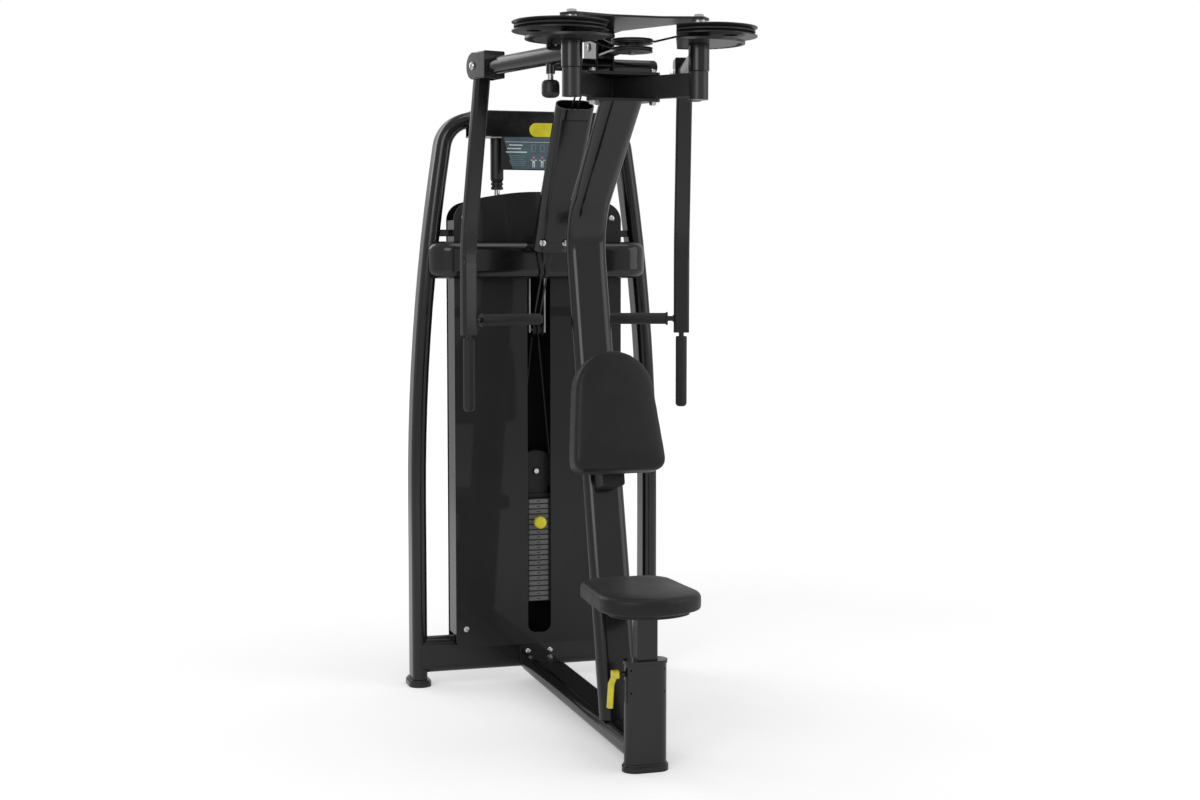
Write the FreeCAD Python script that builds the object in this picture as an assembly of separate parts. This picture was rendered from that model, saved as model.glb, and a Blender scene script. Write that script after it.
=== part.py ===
import FreeCAD, Part
import math
import os

# Selectorised pec fly and rear delt machine.
# Millimetres. +Z up, +Y from the seat towards the weight stack, +X to the right when facing +Y.
# The origin is on the floor, under the middle of the front column.

Vec = FreeCAD.Vector
AX = Vec(1, 0, 0)
AY = Vec(0, 1, 0)
AZ = Vec(0, 0, 1)
SIDES = (("left", -1), ("right", 1))

# Frame tubes: wide x deep flat-oval section
TUBE_W = 120.0
TUBE_D = 60.0
LEG_W = 50.0
LEG_D = 100.0
WALL = 4.0

# Rear arch
ARCH_Y = 1180.0
ARCH_FOOT_X = 398.0
ARCH_BEND_Z = 620.0
ARCH_SIDE_R = 7362.0
ARCH_CORNER_Z = 1771.0
ARCH_CORNER_R = 100.0
FOOT_H = 22.0
FOOT_LIP = 12.0

# Crossbars and base
CROSS_LOW_Z = 103.0
CROSS_LOW_Y = 1160.0
CROSS_MID_Z = 1401.0
CROSS_MID_Y = 1083.0
CROSS_MID_BEND = 50.0
CROSS_MID_HALF = 336.0
BASE_BEAM_Z = 60.0
FLANGE_T = 10.0
BASE_BOLT_X = 38.0
BASE_BOLT_Z = 101.0
FLANGE_Z = 86.0

# Front column, seat post and seat
COLUMN_TOP = 300.0
CAP_H = 9.0
CAP_DEEP = 18.0
POST_W = 60.0
POST_D = 40.0
POST_BOTTOM = 125.0
SEAT_TOP = 500.0
SEAT_T = 48.0
SEAT_BOARD_T = 12.0
SEAT_BOARD_INSET = 35.0
SEAT_BACK_Y = 238.0
SEAT_NOSE_Y = -150.0
SEAT_BACK_X = 138.0
SEAT_FRONT_X = 148.0
SEAT_CORNER_Y = -33.0
SEAT_CORNER_R = 99.0
SEAT_BACK_R = 72.0
POST_TOP = SEAT_TOP - SEAT_T - SEAT_BOARD_T
SLIDE_GAP = 0.08
LEVER_Z = 272.0
LEVER_PIN_R = 5.0

# Main column: lower straight, bend, upper straight, in the plane x = 0
MAIN_LEAN = 0.255
MAIN_FOOT = (226.0, 72.0)
MAIN_CORNER_Z = 1510.0
MAIN_TOP = (227.0, 1842.0)
MAIN_BEND_R = 200.0

# Rear strut that carries the cable, in the plane x = 0
STRUT_TOP = (685.0, 1871.0)
STRUT_FOOT = (970.0, 1440.3)
STRUT_BOLT_X = 37.0
STRUT_BOLT_Z = 1456.0
SADDLE_LOW = 1440.0

# Back pad, measured from the column's front face
PAD_Z = 927.0
PAD_STAND = 82.0
PAD_BOARD_T = 15.0
PAD_T = 70.0
PAD_H = 357.0
PAD_LOW_HALF = 140.0
PAD_TOP_R = 120.0
PAD_CORNER_R = 35.0
STAND_W = 66.0
STAND_H = 257.0
STAND_DROP = 79.0

# Arm pivots and the plates above them
PIVOT_X = 182.0
PIVOT_Y = 90.0
SHAFT_R = 12.0
RUN_GAP = 0.05
HUB_R = 26.5
HUB_LOW = 1841.0
HUB_TOP = 1917.0
ARM_HUB_R = 29.0
ARM_HUB_LOW = 1919.0
ARM_HUB_TOP = 1991.0
RANGE_LOW = 1992.0
RANGE_TOP = 1999.0
RANGE_R = 127.0
RANGE_HOLE_RING = 112.0
RANGE_HOLE_R = 8.5
RANGE_PITCH = 10.0
RANGE_FIRST = -2
RANGE_LAST = 10
CAM_LOW = 2012.0
CAM_TOP = 2038.0
CAM_R = 132.0
CAM_OFFSET = 31.0
CAM_FLAT = 61.5
CAM_FLAT_DIR = 160.0
CAM_GROOVE = 12.0
TOP_PLATE_LOW = 2058.0
TOP_PLATE_T = 6.0
YOKE_LOW = 1850.0
YOKE_TOP = 1915.0
YOKE_T = 20.0
YOKE_APEX_Y = 320.0
CLAMP_T = 8.0

# Arms at rest point back and slightly outward
ARM_DIR = 105.2
ARM_Z = 1960.0
ARM_R = 25.0
BLOCK_START = 430.0
HANDLE_PIVOT = 500.0
HANDLE_PIVOT_Z = 1965.0
BLOCK_W = 68.0
BLOCK_R = 39.0
PIN_AT = 112.0
PIN_R = 8.0
PIN_SLEEVE_R = 12.5

# Hanging tubes and grips
DROP_W = 48.0
DROP_T = 30.0
DROP_KNEE_Z = 1452.0
DROP_KNEE_S = 596.0
DROP_LOW = 1176.0
GRIP_R = 17.5
GRIP_LOW = 946.0
GRIP_TOP = 1165.0
SIDE_GRIP_Z = 1220.0
SIDE_GRIP_L = 210.0
NECK_R = 8.0

# Pulleys and cable
ROPE_R = 3.0
ROPE_SIDES = 12
ROPE_GAP = 0.6
ROPE_BEND = math.radians(12.0)
ROPE_LEVEL = 30.0
CENTRE_Y = 127.0
CENTRE_R = 57.5
CENTRE_W = 12.0
CENTRE_UP_Z = 1997.0
CENTRE_DOWN_Z = 1974.0
TONGUE_T = 6.0
STOP_Y = 400.0
STOP_HALF = 140.0
STOP_R = 18.98
CHEEK_Y = 445.0
CHEEK_Z = 2016.0
CHEEK_R = 40.0
CHEEK_FRONT = 374.0
CHEEK_X = 22.5
CHEEK_T = 5.0
MOUTH_R = 20.0
MOUTH_AT = (712.0, 1822.0)
ROLLER_R = 24.0
ROLLER_AT = (1140.0, 1172.0)
GROOVE = 7.0
TWIN_X = 9.0

# Weight stack
STACK_Y = 1173.0
ROD_X = 125.0
ROD_R = 9.0
ROD_TOP = 1800.0
PLATE_N = 20
PLATES_UP = 5
PLATE_PITCH = 17.2
PLATE_T = 16.8
PLATE_W = 380.0
PLATE_D = 100.0
STACK_LOW = 267.0
STEM_R = 12.0
SELECT_R = 5.0
CARRIAGE_PULLEY_Z = 700.0
CARRIAGE_PULLEY_R = 60.0
CARRIAGE_CHEEK_R = 68.0

# Shroud round the stack
SHROUD_HALF = 283.5
SHROUD_FRONT = 1113.0
SHROUD_BACK = 1233.0
SHROUD_LOW = 126.0
SHELL_LOW = CROSS_LOW_Z + TUBE_W / 2 + 2
SHROUD_SHOULDER = 1530.0
SHROUD_CROWN = 1624.0
SHROUD_T = 4.0
SHROUD_CORNER_R = 60.0
SLOT_HALF = 39.5
SLOT_LOW = 163.0
SLOT_TOP = 1440.0
COVER_HALF = 214.0
COVER_LOW = 1802.0
COVER_TOP = 1886.0
PLACARD_HALF = 122.0
PLACARD_LOW = 1694.0


def save(node, *solids):
    shape = solids[0] if len(solids) == 1 else Part.makeCompound(list(solids))
    shape.exportStep("parts/" + node + ".step")


def joined(first, *others):
    return first.multiFuse(list(others)).removeSplitter()


def cylinder(base, axis, radius, length):
    return Part.makeCylinder(radius, length, base, axis)


def box(low, high):
    size = high - low
    return Part.makeBox(size.x, size.y, size.z, low)


def polar(angle, radius=1.0):
    turn = math.radians(angle)
    return Vec(radius * math.cos(turn), radius * math.sin(turn), 0)


def in_plane(y, z, x=0.0):
    return Vec(x, y, z)


def rounded(centre, u, v, width, depth, radius):
    """Closed wire: a width x depth rectangle on axes u and v, with rounded corners."""
    radius = min(radius, width / 2 - 0.01, depth / 2 - 0.01)
    edges = []
    last = None
    first = None
    for quarter, (sign_u, sign_v) in enumerate(((1, 1), (-1, 1), (-1, -1), (1, -1))):
        hub = centre + u * (sign_u * (width / 2 - radius)) + v * (sign_v * (depth / 2 - radius))
        spots = []
        for step in (0, 45, 90):
            turn = math.radians(90 * quarter + step)
            spots.append(hub + u * (radius * math.cos(turn)) + v * (radius * math.sin(turn)))
        if last is not None:
            edges.append(Part.makeLine(last, spots[0]))
        else:
            first = spots[0]
        edges.append(Part.Arc(*spots).toShape())
        last = spots[2]
    edges.append(Part.makeLine(last, first))
    return Part.Wire(edges)


def slab(centre, u, v, width, depth, radius, thickness):
    """Rounded rectangle pushed out by thickness along u x v."""
    return Part.Face(rounded(centre, u, v, width, depth, radius)).extrude(u.cross(v) * thickness)


def beam(start, end, u, width, depth, radius, wall=0.0):
    """Straight tube of rounded section from start to end. wall 0 is solid."""
    run = end - start
    along = Vec(run).normalize()
    v = along.cross(u)
    outer = Part.Face(rounded(start, u, v, width, depth, radius)).extrude(run)
    if not wall:
        return outer
    inner = rounded(start, u, v, width - 2 * wall, depth - 2 * wall, radius - wall)
    return outer.cut(Part.Face(inner).extrude(run))


def bent(edges, u, v, width, depth, radius, wall=0.0):
    """Tube of rounded section swept along tangent edges. wall 0 is solid."""
    path = Part.Wire(edges)
    start = edges[0].valueAt(edges[0].FirstParameter)
    outer = path.makePipeShell([rounded(start, u, v, width, depth, radius)], True, False)
    if not wall:
        return outer
    core = rounded(start, u, v, width - 2 * wall, depth - 2 * wall, radius - wall)
    return outer.cut(path.makePipeShell([core], True, False))


def turned(centre, axis, profile, angle=360.0):
    """Solid of revolution. profile lists (radius, height along axis) round the section."""
    side = Vec(-axis.y, axis.x, 0) if abs(axis.z) < 0.9 else Vec(1, 0, 0)
    spots = [centre + side * r + axis * h for r, h in profile]
    spots.append(spots[0])
    return Part.Face(Part.makePolygon(spots)).revolve(centre, axis, angle)


def hex_head(centre, axis, across, height):
    side = Vec(-axis.y, axis.x, 0) if abs(axis.z) < 0.9 else Vec(1, 0, 0)
    other = axis.cross(side)
    reach = across / math.sqrt(3)
    spots = []
    for k in range(7):
        turn = math.radians(60 * k)
        spots.append(centre + side * (reach * math.cos(turn)) + other * (reach * math.sin(turn)))
    return Part.Face(Part.makePolygon(spots)).extrude(axis * height)


def button_head(centre, axis, radius, height):
    """Domed socket head standing on centre, pointing along axis."""
    dome = turned(centre, axis, ((0, 0), (radius, 0), (radius, height * 0.45),
                                 (radius * 0.72, height * 0.9), (radius * 0.4, height), (0, height)))
    return dome.cut(hex_head(centre + axis * (height * 0.4), axis, radius * 0.8, height))


def groove_profile(radius, width, bore, groove=GROOVE, rope=ROPE_R + 1.2):
    half = width / 2
    lip = min(2.5, half - rope)
    return ((bore, -half), (radius, -half), (radius, -half + lip), (radius - groove, -rope * 0.55),
            (radius - groove, rope * 0.55), (radius, half - lip), (radius, half), (bore, half))


def pulley(centre, axis, radius, width, pin_r):
    return turned(centre, axis, groove_profile(radius, width, pin_r + RUN_GAP))


def rope_radius(radius):
    """Radius of the cable's centre line on a pulley of this radius."""
    return radius - GROOVE + ROPE_R + ROPE_GAP


# ---------------------------------------------------------------- rear arch and crossbars

def arch_point_x(z):
    """Centre line of a leg: distance from the middle plane at height z."""
    rise = max(0.0, z - ARCH_BEND_Z)
    return ARCH_FOOT_X - ARCH_SIDE_R + math.sqrt(ARCH_SIDE_R ** 2 - rise ** 2)


def arch_edges():
    lean = math.asin((ARCH_CORNER_Z - ARCH_BEND_Z) / ARCH_SIDE_R)
    corner = Vec(arch_point_x(ARCH_CORNER_Z), ARCH_Y, ARCH_CORNER_Z)
    hub = corner + Vec(-math.cos(lean), 0, -math.sin(lean)) * ARCH_CORNER_R
    middle = lean + (math.pi / 2 - lean) / 2
    bend_mid = hub + Vec(math.cos(middle), 0, math.sin(middle)) * ARCH_CORNER_R
    bend_end = hub + AZ * ARCH_CORNER_R
    foot = Vec(ARCH_FOOT_X, ARCH_Y, FOOT_H)
    knee = Vec(ARCH_FOOT_X, ARCH_Y, ARCH_BEND_Z)
    half_z = (ARCH_BEND_Z + ARCH_CORNER_Z) / 2
    swell = Vec(arch_point_x(half_z), ARCH_Y, half_z)

    def flip(p):
        return Vec(-p.x, p.y, p.z)

    return [
        Part.makeLine(foot, knee),
        Part.Arc(knee, swell, corner).toShape(),
        Part.Arc(corner, bend_mid, bend_end).toShape(),
        Part.makeLine(bend_end, flip(bend_end)),
        Part.Arc(flip(bend_end), flip(bend_mid), flip(corner)).toShape(),
        Part.Arc(flip(corner), flip(swell), flip(knee)).toShape(),
        Part.makeLine(flip(knee), flip(foot)),
    ]


def arch(wall=0.0):
    return bent(arch_edges(), AX, AY, LEG_W, LEG_D, LEG_W / 2, wall)


def rear_feet():
    feet = []
    for _, side in SIDES:
        at = Vec(side * ARCH_FOOT_X, ARCH_Y, 0)
        sole = slab(at, AX, AY, LEG_W + 2 * FOOT_LIP, LEG_D + 2 * FOOT_LIP, 36, FOOT_H - 6)
        rim = slab(at + AZ * (FOOT_H - 6), AX, AY, LEG_W + 14, LEG_D + 14, 31, 6)
        feet.append(joined(sole, rim))
    return feet


def low_crossbar(legs):
    half = ARCH_FOOT_X
    bar = beam(Vec(-half, CROSS_LOW_Y, CROSS_LOW_Z), Vec(half, CROSS_LOW_Y, CROSS_LOW_Z),
               AY, TUBE_D, TUBE_W, TUBE_D / 2, WALL)
    return bar.cut(legs)


def mid_crossbar_path():
    r = CROSS_MID_BEND
    y = CROSS_MID_Y
    turn = r * math.sqrt(0.5)

    def at(x, dy):
        return Vec(x, y + dy, CROSS_MID_Z)

    inner = CROSS_MID_HALF - r
    return [
        Part.Arc(at(-CROSS_MID_HALF, r), at(-inner - turn, r - turn), at(-inner, 0)).toShape(),
        Part.makeLine(at(-inner, 0), at(inner, 0)),
        Part.Arc(at(inner, 0), at(inner + turn, r - turn), at(CROSS_MID_HALF, r)).toShape(),
    ]


def mid_crossbar(legs, wall=WALL):
    bar = bent(mid_crossbar_path(), AX, AZ, TUBE_D, TUBE_W, TUBE_D / 2, wall)
    return bar.cut(legs)


def base_beam(column):
    """Flat tube from the front column to the flange that bolts on the lower crossbar."""
    rear = CROSS_LOW_Y - TUBE_D / 2
    tube = beam(Vec(0, 0, BASE_BEAM_Z), Vec(0, rear - FLANGE_T, BASE_BEAM_Z), AX, TUBE_W, TUBE_D,
                TUBE_D / 2, WALL)
    flange = slab(Vec(0, rear - FLANGE_T, FLANGE_Z), AX, AZ * -1, 128, 92, 24, FLANGE_T)
    for side in (-1, 1):
        hole = cylinder(Vec(side * BASE_BOLT_X, rear - 40, BASE_BOLT_Z), AY, 6.0, 60)
        flange = flange.cut(hole)
    return joined(tube.cut(column), flange)


# ---------------------------------------------------------------- front column and seat

def column_solid():
    return beam(Vec(0, 0, FOOT_H), Vec(0, 0, COLUMN_TOP), AX, TUBE_W, TUBE_D, TUBE_D / 2)


def front_column():
    tube = beam(Vec(0, 0, FOOT_H), Vec(0, 0, COLUMN_TOP), AX, TUBE_W, TUBE_D, TUBE_D / 2, WALL)
    bore = cylinder(Vec(-80, 0, LEVER_Z), AX, LEVER_PIN_R + RUN_GAP, 40)
    slot = slab(Vec(-40, 0, LEVER_Z - 48), AY, AZ, 5, 62, 2.4, -40)
    holes = []
    for side in (-1, 1):
        for z in (222, 285):
            holes.append(cylinder(Vec(side * 48, -40, z), AY, 2.6, 22))
    return drilled(tube, bore, slot, *holes)


def drilled(solid, *cutters):
    for cutter in cutters:
        solid = solid.cut(cutter)
    return solid


def front_foot():
    at = Vec(0, 0, 0)
    sole = slab(at, AX, AY, TUBE_W + 12, TUBE_D + 12, 36, FOOT_H - 6)
    rim = slab(at + AZ * (FOOT_H - 6), AX, AY, TUBE_W + 4, TUBE_D + 4, 32, 6)
    return joined(sole, rim)


def column_cap():
    """Plastic guide on the column: a lid with a deep sleeve that the post runs in."""
    lid = slab(Vec(0, 0, COLUMN_TOP), AX, AY, TUBE_W + 5, TUBE_D + 5, 32, CAP_H)
    depth = TUBE_D - 2 * WALL - 1
    sleeve = slab(Vec(0, 0, COLUMN_TOP - CAP_DEEP), AX, AY, TUBE_W - 2 * WALL - 1, depth, 25, CAP_DEEP)
    gap = 2 * SLIDE_GAP
    way = slab(Vec(0, 0, COLUMN_TOP - 60), AX, AY, POST_W + gap, POST_D + gap, 4 + SLIDE_GAP, 120)
    return joined(lid, sleeve).cut(way)


def seat_post():
    return beam(Vec(0, 0, POST_BOTTOM), Vec(0, 0, POST_TOP), AX, POST_W, POST_D, 4, 3)


def seat_outline(low, inset=0.0):
    """Seat seen from above: straight back, tapering sides and one long bulging front arc."""
    back_y = SEAT_BACK_Y - inset
    nose_y = SEAT_NOSE_Y + inset
    back_x = SEAT_BACK_X - inset
    back_r = SEAT_BACK_R - inset
    front_r = SEAT_CORNER_R - inset
    hub_x = SEAT_FRONT_X - SEAT_CORNER_R
    depth = SEAT_CORNER_Y - nose_y
    nose_r = (hub_x ** 2 + depth ** 2 - front_r ** 2) / (2 * (depth - front_r))
    lean = math.asin(hub_x / (nose_r - front_r))
    sweep = math.pi / 2 - lean

    def arc(a, b, c):
        return Part.Arc(Vec(*a, low), Vec(*b, low), Vec(*c, low)).toShape()

    def line(a, b):
        return Part.makeLine(Vec(*a, low), Vec(*b, low))

    def corner(x, y, r, turns):
        return [(x + r * math.cos(turn), y + r * math.sin(turn)) for turn in turns]

    right_front = corner(hub_x, SEAT_CORNER_Y, front_r, (-sweep, -sweep / 2, 0.0))
    right_back = corner(back_x - back_r, back_y - back_r, back_r, (0.0, math.pi / 4, math.pi / 2))

    def flip(p):
        return (-p[0], p[1])

    left_back = [flip(p) for p in reversed(right_back)]
    left_front = [flip(p) for p in reversed(right_front)]
    return Part.Wire([
        arc(*right_front),
        line(right_front[2], right_back[0]),
        arc(*right_back),
        line(right_back[2], left_back[0]),
        arc(*left_back),
        line(left_back[2], left_front[0]),
        arc(*left_front),
        arc(left_front[2], (0, nose_y), right_front[0]),
    ])


def seat_parts():
    base = SEAT_TOP - SEAT_T
    pad = Part.Face(seat_outline(base)).extrude(AZ * SEAT_T)
    pad = pad.makeFillet(14, [e for e in pad.Edges if abs(e.CenterOfMass.z - SEAT_TOP) < 1])
    outline = seat_outline(base - SEAT_BOARD_T, SEAT_BOARD_INSET)
    board = Part.Face(outline).extrude(AZ * SEAT_BOARD_T)
    plate = slab(Vec(0, 20, POST_TOP - 6), AX, AY, 110, 150, 12, 6)
    post = seat_post().cut(plate)
    corner = Vec(POST_W / 2 - 3, POST_D / 2 - 3, 0)
    base_plate = box(AZ * POST_BOTTOM - corner, AZ * (POST_BOTTOM + 5) + corner)
    return pad, board, joined(post, plate, base_plate)


def seat_lever():
    """Yellow hand lever: a boss on the pin, a swept neck and a hanging finger grip."""
    top = Vec(-84, 0, LEVER_Z)
    boss = slab(top + Vec(-12, 0, 0), AY, AZ, 22, 24, 8, 18)
    neck = beam(Vec(-86, 0, LEVER_Z + 2), Vec(-100, 0, LEVER_Z - 30), AY, 18, 16, 7)
    grip = beam(Vec(-98, 0, LEVER_Z - 22), Vec(-102, 0, LEVER_Z - 91), AY, 20, 16, 7)
    lever = joined(boss, neck, grip)
    inner = Vec(-72, 0, LEVER_Z)
    pin = joined(cylinder(inner - AX * 6, AX, LEVER_PIN_R, 28), cylinder(inner, AX, 8, 10.5))
    return lever, pin


def seat_latch():
    """Friction shoe inside the column that holds the post; it stands a hair off the post."""
    return box(Vec(-POST_W / 2 - 10.5, -12, LEVER_Z - 24), Vec(-POST_W / 2 - 0.5, 12, LEVER_Z + 4))


# ---------------------------------------------------------------- main column, strut, back pad

def main_line(z):
    return MAIN_FOOT[0] + MAIN_LEAN * (z - MAIN_FOOT[1])


def main_column_path(start_z):
    corner = in_plane(main_line(MAIN_CORNER_Z), MAIN_CORNER_Z)
    start = in_plane(main_line(start_z), start_z)
    top = in_plane(*MAIN_TOP)
    over = top + (top - corner).normalize() * 60
    into = (start - corner).normalize()
    out = (over - corner).normalize()
    half = math.acos(into.dot(out)) / 2
    reach = MAIN_BEND_R / math.tan(half)
    bisector = (into + out).normalize()
    hub = corner + bisector * (MAIN_BEND_R / math.sin(half))
    a = corner + into * reach
    b = corner + out * reach
    mid = hub - bisector * MAIN_BEND_R
    return [Part.makeLine(start, a), Part.Arc(a, mid, b).toShape(), Part.makeLine(b, over)]


def main_column(wall=WALL):
    edges = main_column_path(20)
    along = edges[0].tangentAt(edges[0].FirstParameter)
    tube = bent(edges, AX, along.cross(AX), TUBE_W, TUBE_D, TUBE_D / 2, wall)
    below = box(Vec(-100, 0, -50), Vec(100, 500, BASE_BEAM_Z + TUBE_D / 2))
    above = box(Vec(-100, 0, MAIN_TOP[1]), Vec(100, 500, MAIN_TOP[1] + 200))
    return tube.cut(below).cut(above)


def strut_axis():
    foot = in_plane(*STRUT_FOOT)
    top = in_plane(*STRUT_TOP)
    return foot, top, (top - foot).normalize()


def strut_solid(wall=0.0):
    foot, top, _ = strut_axis()
    return beam(foot, top, AX, TUBE_W, TUBE_D, TUBE_D / 2, wall)


def rear_strut(cross):
    """Cable strut with a raised front panel, its saddle on the crossbar and two bolt holes."""
    foot, top, along = strut_axis()
    front = AX.cross(along)
    tube = strut_solid(WALL)
    low = foot + along * 40 + front * (TUBE_D / 2 - 0.5)
    high = top - along * 38 + front * (TUBE_D / 2 - 0.5)
    panel = tapered(low, high, front, 62, 84, 3.0)
    saddle = box(Vec(-46, STRUT_FOOT[0], SADDLE_LOW), Vec(46, CROSS_MID_Y, 1478))
    saddle = saddle.cut(strut_solid()).cut(cross)
    saddle = saddle.cut(box(Vec(-15, 900, SADDLE_LOW - 5), Vec(15, 1000, SADDLE_LOW + 12)))
    solid = joined(tube, panel, saddle)
    seat_y = strut_face_y(STRUT_BOLT_Z) + 2
    for side in (-1, 1):
        spot = Vec(side * STRUT_BOLT_X, seat_y, STRUT_BOLT_Z)
        solid = drilled(solid, cylinder(spot - AY * 5, AY, 6.0, 300), cylinder(spot, AY * -1, 12.5, 60))
    return solid


def tapered(low, high, out, low_w, high_w, thickness):
    """Raised panel between two points, low_w wide below and high_w wide above."""
    spots = [low - AX * (low_w / 2), low + AX * (low_w / 2)]
    spots += [high + AX * (high_w / 2), high - AX * (high_w / 2)]
    spots.append(spots[0])
    return Part.Face(Part.makePolygon(spots)).extrude(out * thickness)


def pad_axes():
    up = Vec(0, MAIN_LEAN, 1).normalize()
    front = Vec(0, -up.z, up.y)
    face = in_plane(main_line(PAD_Z), PAD_Z) + front * (TUBE_D / 2)
    return face, front, up


def pad_outline(centre, up, inset):
    """Back pad seen from the front: rounded lower corners, tapering sides, round top."""
    low = -PAD_H / 2 + inset
    half = PAD_LOW_HALF - inset
    r = PAD_CORNER_R - inset / 2
    top_r = PAD_TOP_R - inset
    hub_v = PAD_H / 2 - inset - top_r
    corner = (half - r, low + r)
    gap = (corner[0], corner[1] - hub_v)
    reach = math.hypot(*gap)
    tilt = math.atan2(gap[0], -gap[1])
    lean = math.asin((top_r - r) / reach)
    turn = tilt - lean
    side = (math.cos(turn), math.sin(turn))

    def at(a, b):
        return centre + AX * a + up * b

    def on(hub, radius, direction):
        return (hub[0] + radius * direction[0], hub[1] + radius * direction[1])

    low_turn = (turn - math.pi / 2) / 2
    c0 = on(corner, r, (0, -1))
    c1 = on(corner, r, (math.cos(low_turn), math.sin(low_turn)))
    c2 = on(corner, r, side)
    t0 = on((0, hub_v), top_r, side)

    def flip(p):
        return (-p[0], p[1])

    return Part.Wire([
        Part.Arc(at(*c0), at(*c1), at(*c2)).toShape(),
        Part.makeLine(at(*c2), at(*t0)),
        Part.Arc(at(*t0), at(0, hub_v + top_r), at(*flip(t0))).toShape(),
        Part.makeLine(at(*flip(t0)), at(*flip(c2))),
        Part.Arc(at(*flip(c2)), at(*flip(c1)), at(*flip(c0))).toShape(),
        Part.makeLine(at(*flip(c0)), at(*c0)),
    ])


def back_pad_parts(column):
    face, front, up = pad_axes()
    back = face + front * PAD_STAND
    board = Part.Face(pad_outline(back, up, 18)).extrude(front * PAD_BOARD_T)
    pad = Part.Face(pad_outline(back + front * PAD_BOARD_T, up, 0)).extrude(front * PAD_T)
    edge = [e for e in pad.Edges if (e.CenterOfMass - back).dot(front) > PAD_BOARD_T + PAD_T - 1]
    pad = pad.makeFillet(16, edge)
    root = face - front * 12 - up * STAND_DROP
    end = back - front * 6 - up * STAND_DROP
    stand = beam(root, end, AX, STAND_W, STAND_H, 10, 5)
    lid = slab(end, AX, up, STAND_W, STAND_H, 10, 6)
    plate = slab(back - front * 6 - up * 40, AX, up, 110, 250, 14, 6)
    return pad, board, joined(stand, lid, plate).cut(column)


# ---------------------------------------------------------------- top mechanism

def pivot(side, z=0.0):
    return Vec(side * PIVOT_X, PIVOT_Y, z)


def yoke():
    """Two upright bars from the apex to the lower hubs, welded as one V."""
    middle = (YOKE_LOW + YOKE_TOP) / 2
    arms = []
    bores = []
    for _, side in SIDES:
        apex = Vec(0, YOKE_APEX_Y, middle)
        arms.append(beam(apex, pivot(side, middle), AZ, YOKE_TOP - YOKE_LOW, YOKE_T, 2))
        arms.append(cylinder(pivot(side, HUB_LOW), AZ, HUB_R, HUB_TOP - HUB_LOW))
        bores.append(cylinder(pivot(side, HUB_LOW - 5), AZ, SHAFT_R + 0.02, 100))
    for spot in clamp_bolt_spots():
        bores.append(cylinder(spot + AZ * (YOKE_LOW - 5), AZ, 6.0, 100))
    arms.append(slab(Vec(0, YOKE_APEX_Y + 2, YOKE_LOW), AX, AY, 40, 26, 6, YOKE_TOP - YOKE_LOW))
    return drilled(joined(*arms), *bores)


def clamp_outline(z):
    """Rounded plate under and over the yoke, from its apex to the clamp bolts."""
    spots = [(-116, 190), (116, 190), (34, 350), (-34, 350)]
    return hull_wire([Vec(x, y, z) for x, y in spots], 14)


def hull_wire(spots, radius):
    """Polygon with every corner rounded to the given radius."""
    edges = []
    count = len(spots)
    cuts = []
    for k in range(count):
        here = spots[k]
        back = (spots[k - 1] - here).normalize()
        ahead = (spots[(k + 1) % count] - here).normalize()
        half = math.acos(max(-1.0, min(1.0, back.dot(ahead)))) / 2
        reach = radius / math.tan(half)
        bisector = (back + ahead).normalize()
        mid = here + bisector * (radius / math.sin(half) - radius)
        cuts.append((here + back * reach, mid, here + ahead * reach))
    for k in range(count):
        entry, mid, leave = cuts[k]
        edges.append(Part.Arc(entry, mid, leave).toShape())
        edges.append(Part.makeLine(leave, cuts[(k + 1) % count][0]))
    return Part.Wire(edges)


def clamp_bolt_spots():
    return [Vec(-88, 208, 0), Vec(88, 208, 0)]


def clamp_plates():
    plates = []
    for z in (YOKE_LOW - CLAMP_T, YOKE_TOP):
        plate = Part.Face(clamp_outline(z)).extrude(AZ * CLAMP_T)
        for spot in clamp_bolt_spots():
            plate = plate.cut(cylinder(spot + AZ * (z - 5), AZ, 6.0, 30))
        plates.append(plate)
    return plates


def clamp_bolts():
    bolts = []
    for spot in clamp_bolt_spots():
        low = spot + AZ * (YOKE_LOW - CLAMP_T)
        high = spot + AZ * (YOKE_TOP + CLAMP_T)
        shank = cylinder(low - AZ * 10, AZ, 5.9, high.z - low.z + 20)
        bolts.append(joined(shank, hex_head(high, AZ, 18, 8), hex_head(low - AZ * 8, AZ, 18, 8)))
    return bolts


def top_plate():
    """Thin plate over both pivots, running back to the cheek plates."""
    low = TOP_PLATE_LOW
    spots = [Vec(-PIVOT_X - 4, PIVOT_Y - 34, low), Vec(-70, CENTRE_Y - 40, low), Vec(70, CENTRE_Y - 40, low),
             Vec(PIVOT_X + 4, PIVOT_Y - 34, low), Vec(PIVOT_X + 34, PIVOT_Y + 6, low),
             Vec(PIVOT_X + 10, PIVOT_Y + 46, low), Vec(52, 380, low), Vec(46, 508, low),
             Vec(-46, 508, low), Vec(-52, 380, low), Vec(-PIVOT_X - 10, PIVOT_Y + 46, low),
             Vec(-PIVOT_X - 34, PIVOT_Y + 6, low)]
    plate = Part.Face(hull_wire(spots, 12)).extrude(AZ * TOP_PLATE_T)
    for _, side in SIDES:
        plate = plate.cut(cylinder(pivot(side, low - 2), AZ, 8.02, 20))
    return plate


def centre_bracket():
    """Tongue from the cheek plates that runs forward between the two centre pulleys."""
    middle = (CENTRE_UP_Z + CENTRE_DOWN_Z - TONGUE_T) / 2
    length = CHEEK_FRONT + 21 - CENTRE_Y + CHEEK_X
    spot = Vec(0, CENTRE_Y - CHEEK_X + length / 2, middle)
    tongue = slab(spot, AX, AY, 2 * CHEEK_X + 0.2, length, 18, TONGUE_T)
    return tongue.cut(cylinder(Vec(0, CENTRE_Y, middle - 5), AZ, 6.02, 20))


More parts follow.
